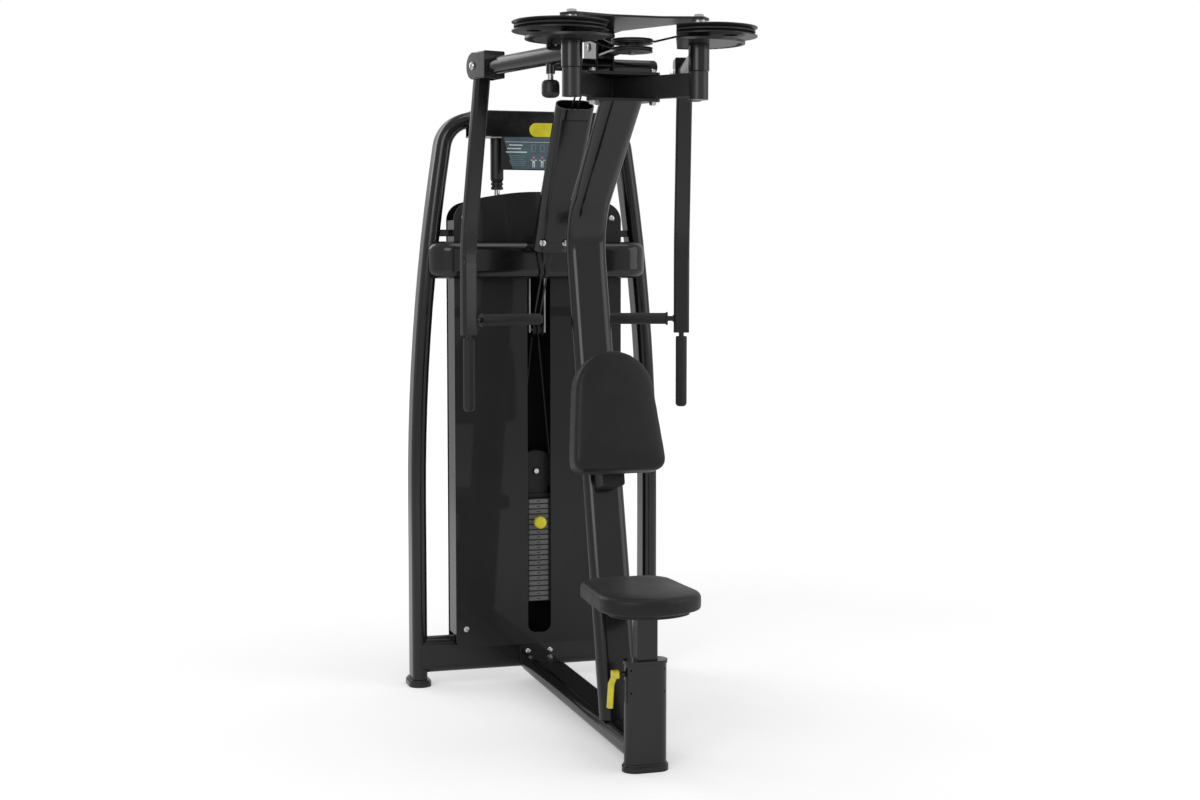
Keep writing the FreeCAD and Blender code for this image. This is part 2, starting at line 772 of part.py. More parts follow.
def cheek_plates():
    """Two plates under the top plate that hold the cheek pulleys and the stop bar."""
    corners = ((CHEEK_FRONT, TOP_PLATE_LOW), (CHEEK_FRONT, 1925), (440, 1925), (496, 1975),
               (496, TOP_PLATE_LOW))
    plates = []
    for side in (-1, 1):
        outline = hull_wire([Vec(side * CHEEK_X, y, z) for y, z in corners], 8)
        plate = Part.Face(outline).extrude(AX * (side * CHEEK_T))
        plate = plate.cut(cylinder(Vec(-60, STOP_Y, ARM_Z), AX, STOP_R + 0.02, 120))
        plates.append(plate.cut(cylinder(Vec(-60, CHEEK_Y, CHEEK_Z), AX, 8.0, 120)))
    return plates


def stop_bar():
    bar = cylinder(Vec(-STOP_HALF, STOP_Y, ARM_Z), AX, STOP_R, 2 * STOP_HALF)
    ends = []
    for side in (-1, 1):
        ends.append(turned(Vec(side * STOP_HALF, STOP_Y, ARM_Z), AX * side,
                           ((0, 0), (19, 0), (19, 16), (15, 22), (8, 25), (0, 25.5))))
    return bar, ends


def pivot_shafts():
    shafts = []
    for _, side in SIDES:
        stem = cylinder(pivot(side, HUB_LOW), AZ, SHAFT_R, TOP_PLATE_LOW - HUB_LOW)
        stud = cylinder(pivot(side, TOP_PLATE_LOW), AZ, 8, TOP_PLATE_T + 10)
        shafts.append(joined(stem, stud))
    return shafts


def pivot_spacers():
    rings = []
    for _, side in SIDES:
        low = CAM_TOP + 0.5
        ring = cylinder(pivot(side, low), AZ, 19, TOP_PLATE_LOW - low)
        rings.append(ring.cut(cylinder(pivot(side, low - 1), AZ, SHAFT_R, 60)))
    return rings


def top_nuts():
    nuts = []
    for _, side in SIDES:
        top = TOP_PLATE_LOW + TOP_PLATE_T
        nut = hex_head(pivot(side, top), AZ, 24, 9)
        nuts.append(nut.cut(cylinder(pivot(side, top - 1), AZ, 8, 30)))
    return nuts


def arm_turn(side):
    """Unit vectors along an arm, and across it pointing to the machine's middle."""
    along = polar(ARM_DIR if side < 0 else 180 - ARM_DIR)
    inward = Vec(-side * along.y, side * along.x, 0)
    return along, inward


def on_arm(side, distance, z, inward_by=0.0):
    along, inward = arm_turn(side)
    return pivot(side, z) + along * distance + inward * inward_by


def flat_cutter(side, z):
    """Block that takes the flat off a cam and the range plate under it."""
    heading = CAM_FLAT_DIR if side > 0 else 180 - CAM_FLAT_DIR
    cutter = box(Vec(0, -200, -40), Vec(200, 200, 40))
    cutter.rotate(Vec(0, 0, 0), AZ, heading)
    cutter.translate(pivot(side, z) + polar(heading) * CAM_FLAT)
    return cutter


def range_plate(side):
    plate = cylinder(pivot(side, RANGE_LOW), AZ, RANGE_R, RANGE_TOP - RANGE_LOW)
    cuts = [flat_cutter(side, RANGE_LOW), cylinder(pivot(side, RANGE_LOW - 1), AZ, SHAFT_R + RUN_GAP, 20)]
    along, _ = arm_turn(side)
    heading = math.degrees(math.atan2(along.y, along.x))
    for k in range(RANGE_FIRST, RANGE_LAST + 1):
        spot = polar(heading - side * k * RANGE_PITCH, RANGE_HOLE_RING)
        cuts.append(cylinder(pivot(side, RANGE_LOW - 1) + spot, AZ, RANGE_HOLE_R, 20))
    return drilled(plate, *cuts)


def cam(side):
    """Grooved eccentric disc with one flat, on a collar that stands on the range plate."""
    middle = (CAM_LOW + CAM_TOP) / 2
    hub = pivot(side, middle) + AX * (side * CAM_OFFSET)
    disc = turned(hub, AZ, groove_profile(CAM_R, CAM_TOP - CAM_LOW, 0.0, CAM_GROOVE, 5.0))
    collar = cylinder(pivot(side, RANGE_TOP), AZ, 30, CAM_LOW - RANGE_TOP)
    solid = joined(disc.cut(flat_cutter(side, middle)), collar)
    solid = solid.cut(cylinder(pivot(side, RANGE_TOP - 5), AZ, SHAFT_R + RUN_GAP, 80))
    for turn in (0, 120, 240):
        spot = hub + polar(turn + 60 * side, 74)
        solid = solid.cut(cylinder(Vec(spot.x, spot.y, CAM_LOW - 5), AZ, 21, 60))
    return solid


def arm(side):
    """Hub, round tube and end block, welded, with the sleeve for the pull pin."""
    along, inward = arm_turn(side)
    hub = cylinder(pivot(side, ARM_HUB_LOW), AZ, ARM_HUB_R, ARM_HUB_TOP - ARM_HUB_LOW)
    tube = cylinder(pivot(side, ARM_Z), along, ARM_R, BLOCK_START + 2)
    nose = cylinder(on_arm(side, HANDLE_PIVOT, HANDLE_PIVOT_Z, -BLOCK_W / 2), inward, BLOCK_R, BLOCK_W)
    body = beam(on_arm(side, BLOCK_START, HANDLE_PIVOT_Z), on_arm(side, HANDLE_PIVOT, HANDLE_PIVOT_Z),
                AZ, 2 * BLOCK_R, BLOCK_W, 4)
    sleeve = cylinder(on_arm(side, PIN_AT, ARM_Z - ARM_R - 24), AZ, PIN_SLEEVE_R, 2 * ARM_R + 24 + 5)
    solid = joined(hub, tube, nose, body, sleeve)
    mouth = box_between(side, BLOCK_START + 22, HANDLE_PIVOT + BLOCK_R + 5, DROP_W + 3,
                        HANDLE_PIVOT_Z - BLOCK_R - 5, HANDLE_PIVOT_Z + BLOCK_R - 7)
    cuts = [
        mouth,
        cylinder(pivot(side, ARM_HUB_LOW - 2), AZ, 16, 90),
        cylinder(on_arm(side, PIN_AT, ARM_Z - 120), AZ, PIN_R + RUN_GAP, 240),
        cylinder(on_arm(side, HANDLE_PIVOT, HANDLE_PIVOT_Z, -BLOCK_W), inward, 8.0, 2 * BLOCK_W),
    ]
    return drilled(solid, *cuts)


def box_between(side, start, end, width, low, high):
    """Box along an arm from start to end, centred on it."""
    return beam(on_arm(side, start, (low + high) / 2), on_arm(side, end, (low + high) / 2), AZ,
                high - low, width, 0.5)


def arm_bushes():
    """Flanged bushes in the arm hubs."""
    rings = []
    for side in (-1, 1):
        for low, lip in ((ARM_HUB_LOW, ARM_HUB_LOW - 1.8), (ARM_HUB_TOP - 22, None)):
            ring = cylinder(pivot(side, low), AZ, 15.99, 22)
            if lip:
                ring = joined(ring, cylinder(pivot(side, lip), AZ, 21, 1.8))
            rings.append(ring.cut(cylinder(pivot(side, low - 5), AZ, SHAFT_R + RUN_GAP, 40)))
    return rings


def handle_bolt(side):
    """Pivot bolt through the end block, with a domed head outside and a nut inside."""
    _, inward = arm_turn(side)
    outer = on_arm(side, HANDLE_PIVOT, HANDLE_PIVOT_Z, -BLOCK_W / 2)
    shank = cylinder(outer - inward * 1, inward, 7.98, BLOCK_W + 6)
    head = button_head(outer, inward * -1, 12, 7)
    washer = cylinder(outer + inward * BLOCK_W, inward, 14, 2)
    nut = hex_head(outer + inward * (BLOCK_W + 2), inward, 22, 8)
    return joined(shank, head, washer, nut)


def handle_tube(side):
    """Hanging tube with its eye, its knee and the two grip studs."""
    _, inward = arm_turn(side)
    pivot_at = on_arm(side, HANDLE_PIVOT, HANDLE_PIVOT_Z)
    knee = on_arm(side, DROP_KNEE_S, DROP_KNEE_Z)
    foot = on_arm(side, DROP_KNEE_S, DROP_LOW)
    eye = cylinder(pivot_at - inward * (DROP_W / 2), inward, 25, DROP_W)
    down = (knee - pivot_at).normalize()
    bend = 60.0
    a = knee - down * bend
    b = knee - AZ * bend
    hub_mid = arc_middle(a, b, knee)
    start = pivot_at + down * 10
    edges = [Part.makeLine(start, a), Part.Arc(a, hub_mid, b).toShape(), Part.makeLine(b, foot)]
    tube = bent(edges, inward, down.cross(inward), DROP_W, DROP_T, 9, 3)
    tube = tube.cut(cylinder(pivot_at - inward * 40, inward, 24, 80))
    end_plug = slab(foot, inward, inward.cross(AZ), DROP_W - 6, DROP_T - 6, 6, -6)
    stud = cylinder(Vec(foot.x, foot.y, GRIP_LOW + 8), AZ, NECK_R, foot.z - GRIP_LOW)
    side_start = on_arm(side, DROP_KNEE_S, SIDE_GRIP_Z)
    side_stud = cylinder(side_start, inward, NECK_R, 33 + SIDE_GRIP_L)
    collar = cylinder(side_start + inward * (DROP_W / 2), inward, 11, 3)
    solid = joined(tube, eye, end_plug, stud, side_stud, collar)
    return solid.cut(cylinder(pivot_at - inward * 60, inward, 8.05, 120))


def arc_middle(a, b, corner):
    """Middle point of the arc that is tangent at a and b to the lines through corner."""
    into = (a - corner).normalize()
    out = (b - corner).normalize()
    half = math.acos(into.dot(out)) / 2
    reach = (a - corner).Length
    radius = reach * math.tan(half)
    return corner + (into + out).normalize() * (reach / math.cos(half) - radius)


def grips(side):
    _, inward = arm_turn(side)
    foot = on_arm(side, DROP_KNEE_S, GRIP_TOP)
    length = GRIP_TOP - GRIP_LOW
    upright = turned(foot, AZ * -1, ((NECK_R, 0), (GRIP_R - 2, 0), (GRIP_R, 2), (GRIP_R, length - 9),
                                     (GRIP_R - 3, length - 3), (GRIP_R - 8, length), (0, length),
                                     (0, length - 8), (NECK_R, length - 8)))
    start = on_arm(side, DROP_KNEE_S, SIDE_GRIP_Z) + inward * 43
    length = SIDE_GRIP_L
    across = turned(start, inward, ((NECK_R, 0), (GRIP_R + 3, 0), (GRIP_R + 3, 4), (GRIP_R, 7),
                                    (GRIP_R, length - 9), (GRIP_R - 3, length - 3), (GRIP_R - 8, length),
                                    (0, length), (0, length - 10), (NECK_R, length - 10)))
    return upright, across


def pull_pin(side):
    """Spring pin below its range plate hole; the knob hangs under the arm."""
    at = on_arm(side, PIN_AT, 0)
    rod = cylinder(at + AZ * 1880, AZ, PIN_R, 1990 - 1880)
    tip = Part.makeCone(PIN_R, PIN_R - 1.5, 1.5, at + AZ * 1990, AZ)
    knob = turned(at + AZ * 1846, AZ, ((0, 0), (14, 0), (22, 4), (25, 12), (25, 34), (23, 42), (18, 47),
                                       (13, 48), (0, 48)))
    return joined(rod, tip).cut(knob), knob


# ---------------------------------------------------------------- pulleys and cable

def run_heading(c1, r1, c2, r2):
    """Heading of the straight run between two circles. A radius is signed: + turns left."""
    dx = c2[0] - c1[0]
    dy = c2[1] - c1[1]
    return math.atan2(dy, dx) - math.asin((r2 - r1) / math.hypot(dx, dy))


def run_point(centre, radius, heading):
    return (centre[0] + radius * math.sin(heading), centre[1] - radius * math.cos(heading))


def cam_corner():
    """Back end of the right cam's flat at cable depth, as x and y."""
    out = polar(CAM_FLAT_DIR)
    groove_r = CAM_R - CAM_GROOVE + ROPE_R + ROPE_GAP
    from_hub = CAM_FLAT - out.x * CAM_OFFSET
    half = math.sqrt(groove_r ** 2 - from_hub ** 2)
    along = Vec(out.y, -out.x, 0)
    spot = pivot(1) + AX * CAM_OFFSET + out * (from_hub + 1.0) + along * half
    return (spot.x, spot.y)


def bend_headings(first, last):
    """Headings along a bend, close enough for straight pieces to stay in the groove."""
    count = max(1, math.ceil(abs(last - first) / ROPE_BEND))
    return [first + (last - first) * step / count for step in range(count + 1)]


def arm_cable(side, centre_z):
    """From the cam's rim round a centre pulley, over the cheek pulley, down the strut."""
    x = side * TWIN_X
    # Plan view, worked out for the right side and then mirrored by side.
    sweep = rope_radius(CENTRE_R)
    centre = (0.0, CENTRE_Y)
    start = cam_corner()
    leave = run_heading(start, 0.0, centre, -sweep)
    away = run_heading(centre, -sweep, (-TWIN_X, CHEEK_Y), 0.0)
    spots = [Vec(side * start[0], start[1], (CAM_LOW + CAM_TOP) / 2)]
    turns = bend_headings(leave, leave - (leave - away) % (2 * math.pi))
    for heading in turns:
        point = run_point(centre, -sweep, heading)
        spots.append(Vec(side * point[0], point[1], centre_z))
    # The cable stays level until it is clear of the pulley's lips.
    level_in = Vec(side * math.cos(turns[0]), math.sin(turns[0]), 0) * ROPE_LEVEL
    level_out = Vec(side * math.cos(turns[-1]), math.sin(turns[-1]), 0) * ROPE_LEVEL
    spots.insert(1, spots[1] - level_in)
    spots.append(spots[-1] + level_out)
    # Side view of the same cable: (pulley, cable radius) in y and z, all turning clockwise.
    wheels = [((CHEEK_Y, CHEEK_Z), rope_radius(CHEEK_R)), (MOUTH_AT, rope_radius(MOUTH_R)),
              (ROLLER_AT, rope_radius(ROLLER_R))]
    headings = [run_heading((spots[-1].y, centre_z), 0.0, wheels[0][0], -wheels[0][1])]
    for here, ahead in zip(wheels, wheels[1:]):
        headings.append(run_heading(here[0], -here[1], ahead[0], -ahead[1]))
    headings.append(-math.pi / 2)
    for index, (hub, radius) in enumerate(wheels):
        for heading in bend_headings(headings[index], headings[index + 1]):
            point = run_point(hub, -radius, heading)
            spots.append(Vec(-x, point[0], point[1]))
    return strand(spots), spots[-1]


def strand(spots):
    """Cable through spots in order, with flat sides and a mitre at every spot."""
    run = (spots[1] - spots[0]).normalize()
    side = run.cross(AX + AZ).normalize()
    up = run.cross(side)
    turns = [2 * math.pi * k / ROPE_SIDES for k in range(ROPE_SIDES)]
    ring = [spots[0] + side * (ROPE_R * math.cos(t)) + up * (ROPE_R * math.sin(t)) for t in turns]
    faces = [Part.Face(Part.makePolygon(ring + ring[:1]))]
    for index in range(1, len(spots)):
        at = spots[index]
        run = (at - spots[index - 1]).normalize()
        mitre = Vec(run)
        if index + 1 < len(spots):
            mitre += (spots[index + 1] - at).normalize()
        ahead = [spot + run * ((at - spot).dot(mitre) / run.dot(mitre)) for spot in ring]
        for k in range(ROPE_SIDES):
            after = (k + 1) % ROPE_SIDES
            faces.append(Part.Face(Part.makePolygon([ring[k], ring[after], ahead[after], ahead[k], ring[k]])))
        ring = ahead
    faces.append(Part.Face(Part.makePolygon(ring + ring[:1])))
    solid = Part.makeSolid(Part.makeShell(faces))
    if solid.Volume < 0:
        solid.reverse()
    return solid


def stack_cable(ends):
    """Two falls from the rollers, round the pulley on the weight carriage."""
    radius = rope_radius(CARRIAGE_PULLEY_R)
    start, end = sorted(ends, key=lambda spot: spot.x)
    gap = AZ * ROPE_R
    spots = [start - gap]
    for turn in bend_headings(0.0, math.pi):
        spots.append(Vec(-radius * math.cos(turn), STACK_Y, CARRIAGE_PULLEY_Z - radius * math.sin(turn)))
    spots.append(end - gap)
    return strand(spots)


def twin_pulleys(at, radius, width, pin_r):
    pair = [pulley(Vec(side * TWIN_X, at[0], at[1]), AX, radius, width, pin_r) for side in (-1, 1)]
    return joined(*pair)


# ---------------------------------------------------------------- weight stack

def plate_z(index):
    """Underside of plate index, counted from the bottom."""
    return STACK_LOW + index * PLATE_PITCH


def weight_plate(index, stem_gap):
    low = plate_z(index)
    plate = slab(Vec(0, STACK_Y, low), AX, AY, PLATE_W, PLATE_D, 8, PLATE_T)
    middle = low + PLATE_T / 2
    cuts = [cylinder(Vec(0, STACK_Y, low - 1), AZ, STEM_R + stem_gap, 30)]
    for side in (-1, 1):
        cuts.append(cylinder(Vec(side * ROD_X, STACK_Y, low - 1), AZ, ROD_R + 1, 30))
    cuts.append(cylinder(Vec(0, STACK_Y - PLATE_D, middle), AY, SELECT_R + 0.5, PLATE_D + 24))
    return drilled(plate, *cuts)


def carriage():
    """Stem with a pin hole for every plate, head block and the two pulley cheeks."""
    head_low = plate_z(PLATE_N)
    stem = cylinder(Vec(0, STACK_Y, plate_z(0) + 4), AZ, STEM_R, head_low - plate_z(0) - 4)
    for index in range(PLATE_N):
        hole = cylinder(Vec(0, STACK_Y - 30, plate_z(index) + PLATE_T / 2), AY, SELECT_R + 0.06, 60)
        stem = stem.cut(hole)
    head = slab(Vec(0, STACK_Y, head_low), AX, AY, 300, 60, 10, 14)
    rod_ways = [cylinder(Vec(side * ROD_X, STACK_Y, head_low - 1), AZ, ROD_R + 0.08, 30) for side in (-1, 1)]
    head = drilled(head, *rod_ways)
    cheeks = []
    for side in (-1, 1):
        base_y = STACK_Y + side * 15
        disc = cylinder(Vec(0, base_y, CARRIAGE_PULLEY_Z), AY * side, CARRIAGE_CHEEK_R, 4)
        foot = box(Vec(-40, min(base_y, base_y + side * 4), head_low + 14),
                   Vec(40, max(base_y, base_y + side * 4), CARRIAGE_PULLEY_Z))
        cheek = joined(disc, foot)
        cheeks.append(cheek.cut(cylinder(Vec(0, STACK_Y - 60, CARRIAGE_PULLEY_Z), AY, 6, 120)))
    low_cut = box(Vec(-200, 0, 0), Vec(200, 2000, head_low + 13.9))
    cheeks = [c.cut(low_cut) for c in cheeks]
    return joined(stem, head, *cheeks)


def carriage_bolt():
    front = Vec(0, STACK_Y - 19, CARRIAGE_PULLEY_Z)
    shank = cylinder(front - AY * 1, AY, 5.98, 42)
    head = button_head(front, AY * -1, 11, 7)
    nut = hex_head(front + AY * 38, AY, 17, 8)
    return joined(shank, head, nut)


def selector_pin():
    z = plate_z(PLATE_N - PLATES_UP) + PLATE_T / 2
    face = STACK_Y - PLATE_D / 2
    pin = cylinder(Vec(0, face - 8, z), AY, SELECT_R, PLATE_D / 2 + 8 + STEM_R + 6)
    knob = turned(Vec(0, face - 3, z), AY * -1,
                  ((0, 0), (9, 0), (9, 6), (20, 9), (20, 25), (17, 29), (10, 31), (0, 31)))
    return pin.cut(knob), knob


def guide_rods():
    low = CROSS_LOW_Z + TUBE_W / 2
    return [cylinder(Vec(side * ROD_X, STACK_Y, low), AZ, ROD_R, ROD_TOP - low) for side in (-1, 1)]


def rod_sleeves():
    sleeves = []
    for side in (-1, 1):
        at = Vec(side * ROD_X, STACK_Y, 1631)
        body = turned(at, AZ, ((ROD_R, 0), (18, 0), (20, 2), (20, 9), (17, 11), (17, 14), (20, 16), (20, 22),
                               (17, 24), (21.5, 34), (21.5, 168), (ROD_R, 168)))
        sleeves.append(body)
    return sleeves


def stack_bumpers():
    rings = []
    for side in (-1, 1):
        at = Vec(side * ROD_X, STACK_Y, CROSS_LOW_Z + TUBE_W / 2)
        rise = STACK_LOW - at.z
        rings.append(turned(at, AZ, ((ROD_R, 0), (16, 0), (16, rise - 42), (24, rise - 38), (28, rise - 30),
                                     (28, rise - 8), (22, rise - 0.2), (ROD_R, rise - 0.2))))
    return rings


# ---------------------------------------------------------------- shroud and top cover

def shroud_outline(y, half, low, crown, shoulder):
    """Panel outline: straight sides, rounded shoulders and one long crown arc."""
    r = SHROUD_CORNER_R
    a = half - r
    h = crown - shoulder
    big = (a * a + h * h - r * r) / (2 * (h - r))
    lean = math.asin(a / (big - r))
    foot_r = 26.0
    diag = math.sqrt(0.5)

    def at(x, z):
        return Vec(x, y, z)

    def shoulder_arc(sign):
        spots = []
        for turn in (0.0, (math.pi / 2 - lean) / 2, math.pi / 2 - lean):
            spots.append(at(sign * (a + r * math.cos(turn)), shoulder + r * math.sin(turn)))
        return spots

    right = shoulder_arc(1)
    left = shoulder_arc(-1)
    cut = foot_r * (1 - diag)
    return Part.Wire([
        Part.makeLine(at(-half + foot_r, low), at(half - foot_r, low)),
        Part.Arc(at(half - foot_r, low), at(half - cut, low + cut), at(half, low + foot_r)).toShape(),
        Part.makeLine(at(half, low + foot_r), right[0]),
        Part.Arc(*right).toShape(),
        Part.Arc(right[2], at(0, crown), left[2]).toShape(),
        Part.Arc(left[2], left[1], left[0]).toShape(),
        Part.makeLine(left[0], at(-half, low + foot_r)),
        Part.Arc(at(-half, low + foot_r), at(-half + cut, low + cut), at(-half + foot_r, low)).toShape(),
    ])


def shroud_bolt_spots():
    return [(-250, 188), (250, 188), (-250, 1539), (250, 1539)]


def shroud_front():
    panel = Part.Face(shroud_outline(SHROUD_FRONT, SHROUD_HALF, SHROUD_LOW, SHROUD_CROWN,
                                     SHROUD_SHOULDER)).extrude(AY * SHROUD_T)
    height = SLOT_TOP - SLOT_LOW
    middle = Vec(0, SHROUD_FRONT - 5, SLOT_LOW + height / 2)
    slot = beam(middle, middle + AY * 20, AX, 2 * SLOT_HALF, height, 28)
    holes = [cylinder(Vec(x, SHROUD_FRONT - 5, z), AY, 6.0, 20) for x, z in shroud_bolt_spots()]
    return drilled(panel, slot, *holes)


def shroud_back():
    outline = shroud_outline(SHROUD_BACK - SHROUD_T, SHROUD_HALF, SHROUD_LOW, SHROUD_CROWN, SHROUD_SHOULDER)
    return Part.Face(outline).extrude(AY * SHROUD_T)


def shroud_sides():
    rails = []
    for side in (-1, 1):
        x = side * (SHROUD_HALF - 3.5)
        rails.append(box(Vec(x - 1.5, SHROUD_FRONT + SHROUD_T, SHELL_LOW),
                         Vec(x + 1.5, SHROUD_BACK - SHROUD_T, SHROUD_SHOULDER)))
    return rails


def shroud_tabs(legs):
    """Four brackets: two to the legs at shoulder height, two on the lower crossbar."""
    tabs = []
    for side in (-1, 1):
        inner = side * (SHROUD_HALF - 2)
        outer = side * 360
        arm_plate = box(Vec(min(inner, outer), ARCH_Y - 22, 1478), Vec(max(inner, outer), ARCH_Y + 20, 1500))
        tabs.append(arm_plate.cut(legs))
        corner = Vec(side * 249.5 - 24.5, SHROUD_FRONT + SHROUD_T, CROSS_LOW_Z + TUBE_W / 2)
        ear = box(corner, corner + Vec(49, 4, 50))
        foot = box(corner, corner + Vec(49, 66, 4))
        centre = Vec(0, CROSS_LOW_Y, CROSS_LOW_Z)
        bar = beam(centre - AX * 400, centre + AX * 400, AY, TUBE_D, TUBE_W, TUBE_D / 2)
        tab = joined(ear, foot).cut(bar)
        tabs.append(tab.cut(cylinder(Vec(side * 250, SHROUD_FRONT - 5, 188), AY, 6.0, 40)))
    return tabs


def shroud_bolts():
    bolts = []
    for x, z in shroud_bolt_spots():
        at = Vec(x, SHROUD_FRONT, z)
        ring = cylinder(at, AY * -1, 13, 3).cut(cylinder(at + AY, AY * -1, 5.5, 10))
        head = button_head(at - AY * 3, AY * -1, 9, 5)
        shank = cylinder(at - AY * 3.5, AY, 5.5, 16)
        bolts.append(joined(ring, head, shank))
    return bolts


def top_cover():
    """Inverted channel over the arch's top tube."""
    outer = box(Vec(-COVER_HALF, 1122, COVER_LOW), Vec(COVER_HALF, 1238, COVER_TOP))
    edges = [e for e in outer.Edges if abs(e.CenterOfMass.z - COVER_TOP) < 1]
    outer = outer.makeFillet(4.0, edges)
    inner = box(Vec(-COVER_HALF - 1, 1127, COVER_LOW - 1), Vec(COVER_HALF + 1, 1233, COVER_TOP - 4.5))
    floor = box(Vec(-COVER_HALF, 1127, COVER_LOW), Vec(COVER_HALF, 1233, COVER_LOW + 4))
    for side in (-1, 1):
        floor = floor.cut(cylinder(Vec(side * ROD_X, STACK_Y, COVER_LOW - 5), AZ, 6.0, 20))
    return joined(outer.cut(inner), floor)


def placard():
    """Backing board for the instruction sheet, hung under the front of the cover."""
    height = COVER_LOW - PLACARD_LOW
    corner = Vec(0, 1122, PLACARD_LOW + height / 2)
    return slab(corner, AZ, AX, height, 2 * PLACARD_HALF, 5, 4)


# ---------------------------------------------------------------- bolts and axles

def frame_bolts():
    bolts = []
    rear = CROSS_LOW_Y - TUBE_D / 2 - FLANGE_T
    for side in (-1, 1):
        at = Vec(side * BASE_BOLT_X, rear, BASE_BOLT_Z)
        bolts.append(joined(button_head(at, AY * -1, 9, 6), cylinder(at, AY, 5.9, FLANGE_T)))
    return bolts


def strut_bolts():
    bolts = []
    for side in (-1, 1):
        y = strut_face_y(STRUT_BOLT_Z)
        at = Vec(side * STRUT_BOLT_X, y + 2, STRUT_BOLT_Z)
        shank = cylinder(at, AY, 5.9, 70)
        bolts.append(joined(shank, button_head(at, AY * -1, 11, 8)))
    return bolts


def strut_face_y(z):
    """Front face of the strut at height z."""
    foot, _, along = strut_axis()
    centre = foot.y + along.y / along.z * (z - foot.z)
    return centre - TUBE_D / 2 / along.z


def centre_axle():
    """Bolt through both centre pulleys and the tongue between them, with two washers."""
    gap = CENTRE_W / 2 + 0.5
    low = CENTRE_DOWN_Z - gap
    high = CENTRE_UP_Z + gap
    middle = Vec(0, CENTRE_Y, 0)
    tongue_low = (CENTRE_UP_Z + CENTRE_DOWN_Z - TONGUE_T) / 2
    washer_t = tongue_low - CENTRE_DOWN_Z - gap
    shank = cylinder(middle + AZ * low, AZ, 6.0, high - low)
    washers = [cylinder(middle + AZ * z, AZ, 12, washer_t) for z in (tongue_low - washer_t, tongue_low + TONGUE_T)]
    head = button_head(middle + AZ * high, AZ, 10, 6)
    return joined(shank, *washers, head, hex_head(middle + AZ * low, AZ * -1, 18, 6))


def cable_axles():
    """Bolt through the cheek pulleys, and the pin across the strut's mouth."""
    out = CHEEK_X + CHEEK_T
    middle = Vec(0, CHEEK_Y, CHEEK_Z)
    cheek = joined(cylinder(middle - AX * (out + 2), AX, 7.99, 2 * out + 4),
                   button_head(middle + AX * out, AX, 12, 6), button_head(middle - AX * out, AX * -1, 12, 6))
    mouth = cylinder(Vec(-54, MOUTH_AT[0], MOUTH_AT[1]), AX, 5.0, 108)
    return cheek, mouth


def roller_bracket():
    """Axle and two hangers that hold the rollers behind the mid crossbar."""
    y, z = ROLLER_AT
    back = CROSS_MID_Y + TUBE_D / 2
    solids = [cylinder(Vec(-28, y, z), AX, 5.0, 56)]
    for side in (-1, 1):
        inner, outer = sorted((side * 23.0, side * 28.0))
        solids.append(box(Vec(inner, y - 8, z - 10), Vec(outer, y + 8, CROSS_MID_Z + 10)))
        solids.append(box(Vec(inner, back, CROSS_MID_Z - 20), Vec(outer, y, CROSS_MID_Z + 10)))
    return joined(*solids)


def build_frame():
    legs = arch()
    column = column_solid()
    cross = mid_crossbar(legs, 0.0)
    main_outer = main_column(0.0)
    save("rear_arch", arch(WALL))
    save("lower_crossbar", low_crossbar(legs))
    save("mid_crossbar", mid_crossbar(legs))
    save("base_beam", base_beam(column))
    save("front_column", front_column())
    save("floor_caps", front_foot(), *rear_feet())
    save("column_cap", column_cap())
    save("rear_strut", rear_strut(cross))
    save("main_column", main_column())
    save("frame_fasteners", *frame_bolts(), *strut_bolts(), *clamp_bolts(), *top_nuts(), *shroud_bolts())
    pad, board, bracket = back_pad_parts(main_outer)
    save("back_pad", pad)
    save("back_pad_board", board)
    save("back_pad_bracket", bracket)
    save("shroud_tabs", *shroud_tabs(legs))


def build_shroud():
    save("shroud_front", shroud_front())
    save("shroud_shell", joined(shroud_back(), *shroud_sides()))
    save("top_cover", top_cover())
    save("placard", placard())


def build_seat():
    pad, board, post = seat_parts()
    save("seat_pad", pad)
    save("seat_board", board)
    save("seat_post", post)
    lever, pin = seat_lever()
    save("seat_lever", lever, pin)
    save("seat_latch", seat_latch())


def build_top():
    save("yoke", yoke())
    save("clamp_plates", *clamp_plates())
    save("top_plate", joined(top_plate(), *cheek_plates(), centre_bracket()))
    bar, ends = stop_bar()
    save("stop_bar", bar, *ends)
    save("pivot_shafts", *pivot_shafts(), *pivot_spacers())
    bushes = arm_bushes()
    for index, (name, side) in enumerate(SIDES):
        save(name + "_range_plate", range_plate(side))
        save(name + "_cam", cam(side))
        save(name + "_arm", arm(side))
        save(name + "_arm_bushes", *bushes[2 * index:2 * index + 2])
        save(name + "_handle_tube", handle_tube(side))
        upright, across = grips(side)
        save(name + "_grips", upright, across)
        rod, knob = pull_pin(side)
        save(name + "_pull_pin", rod, knob)
        save(name + "_handle_bolt", handle_bolt(side))


def build_cable():
    save("upper_centre_pulley", pulley(Vec(0, CENTRE_Y, CENTRE_UP_Z), AZ, CENTRE_R, CENTRE_W, 6.0))
    save("lower_centre_pulley", pulley(Vec(0, CENTRE_Y, CENTRE_DOWN_Z), AZ, CENTRE_R, CENTRE_W, 6.0))
    save("cheek_pulleys", twin_pulleys((CHEEK_Y, CHEEK_Z), CHEEK_R, 17.5, 8.0))
    save("strut_pulleys", twin_pulleys(MOUTH_AT, MOUTH_R, 17.5, 5.0))
    save("stack_rollers", twin_pulleys(ROLLER_AT, ROLLER_R, 17.5, 5.0))
    save("carriage_pulley", pulley(Vec(0, STACK_Y, CARRIAGE_PULLEY_Z), AY, CARRIAGE_PULLEY_R, 24, 6.0))
    cheek_axle, mouth_axle = cable_axles()
    save("pulley_axles", centre_axle(), cheek_axle, mouth_axle, roller_bracket())
    right, right_end = arm_cable(1, CENTRE_UP_Z)
    left, left_end = arm_cable(-1, CENTRE_DOWN_Z)
    save("arm_cables", left, right)
    save("stack_cable", stack_cable((left_end, right_end)))


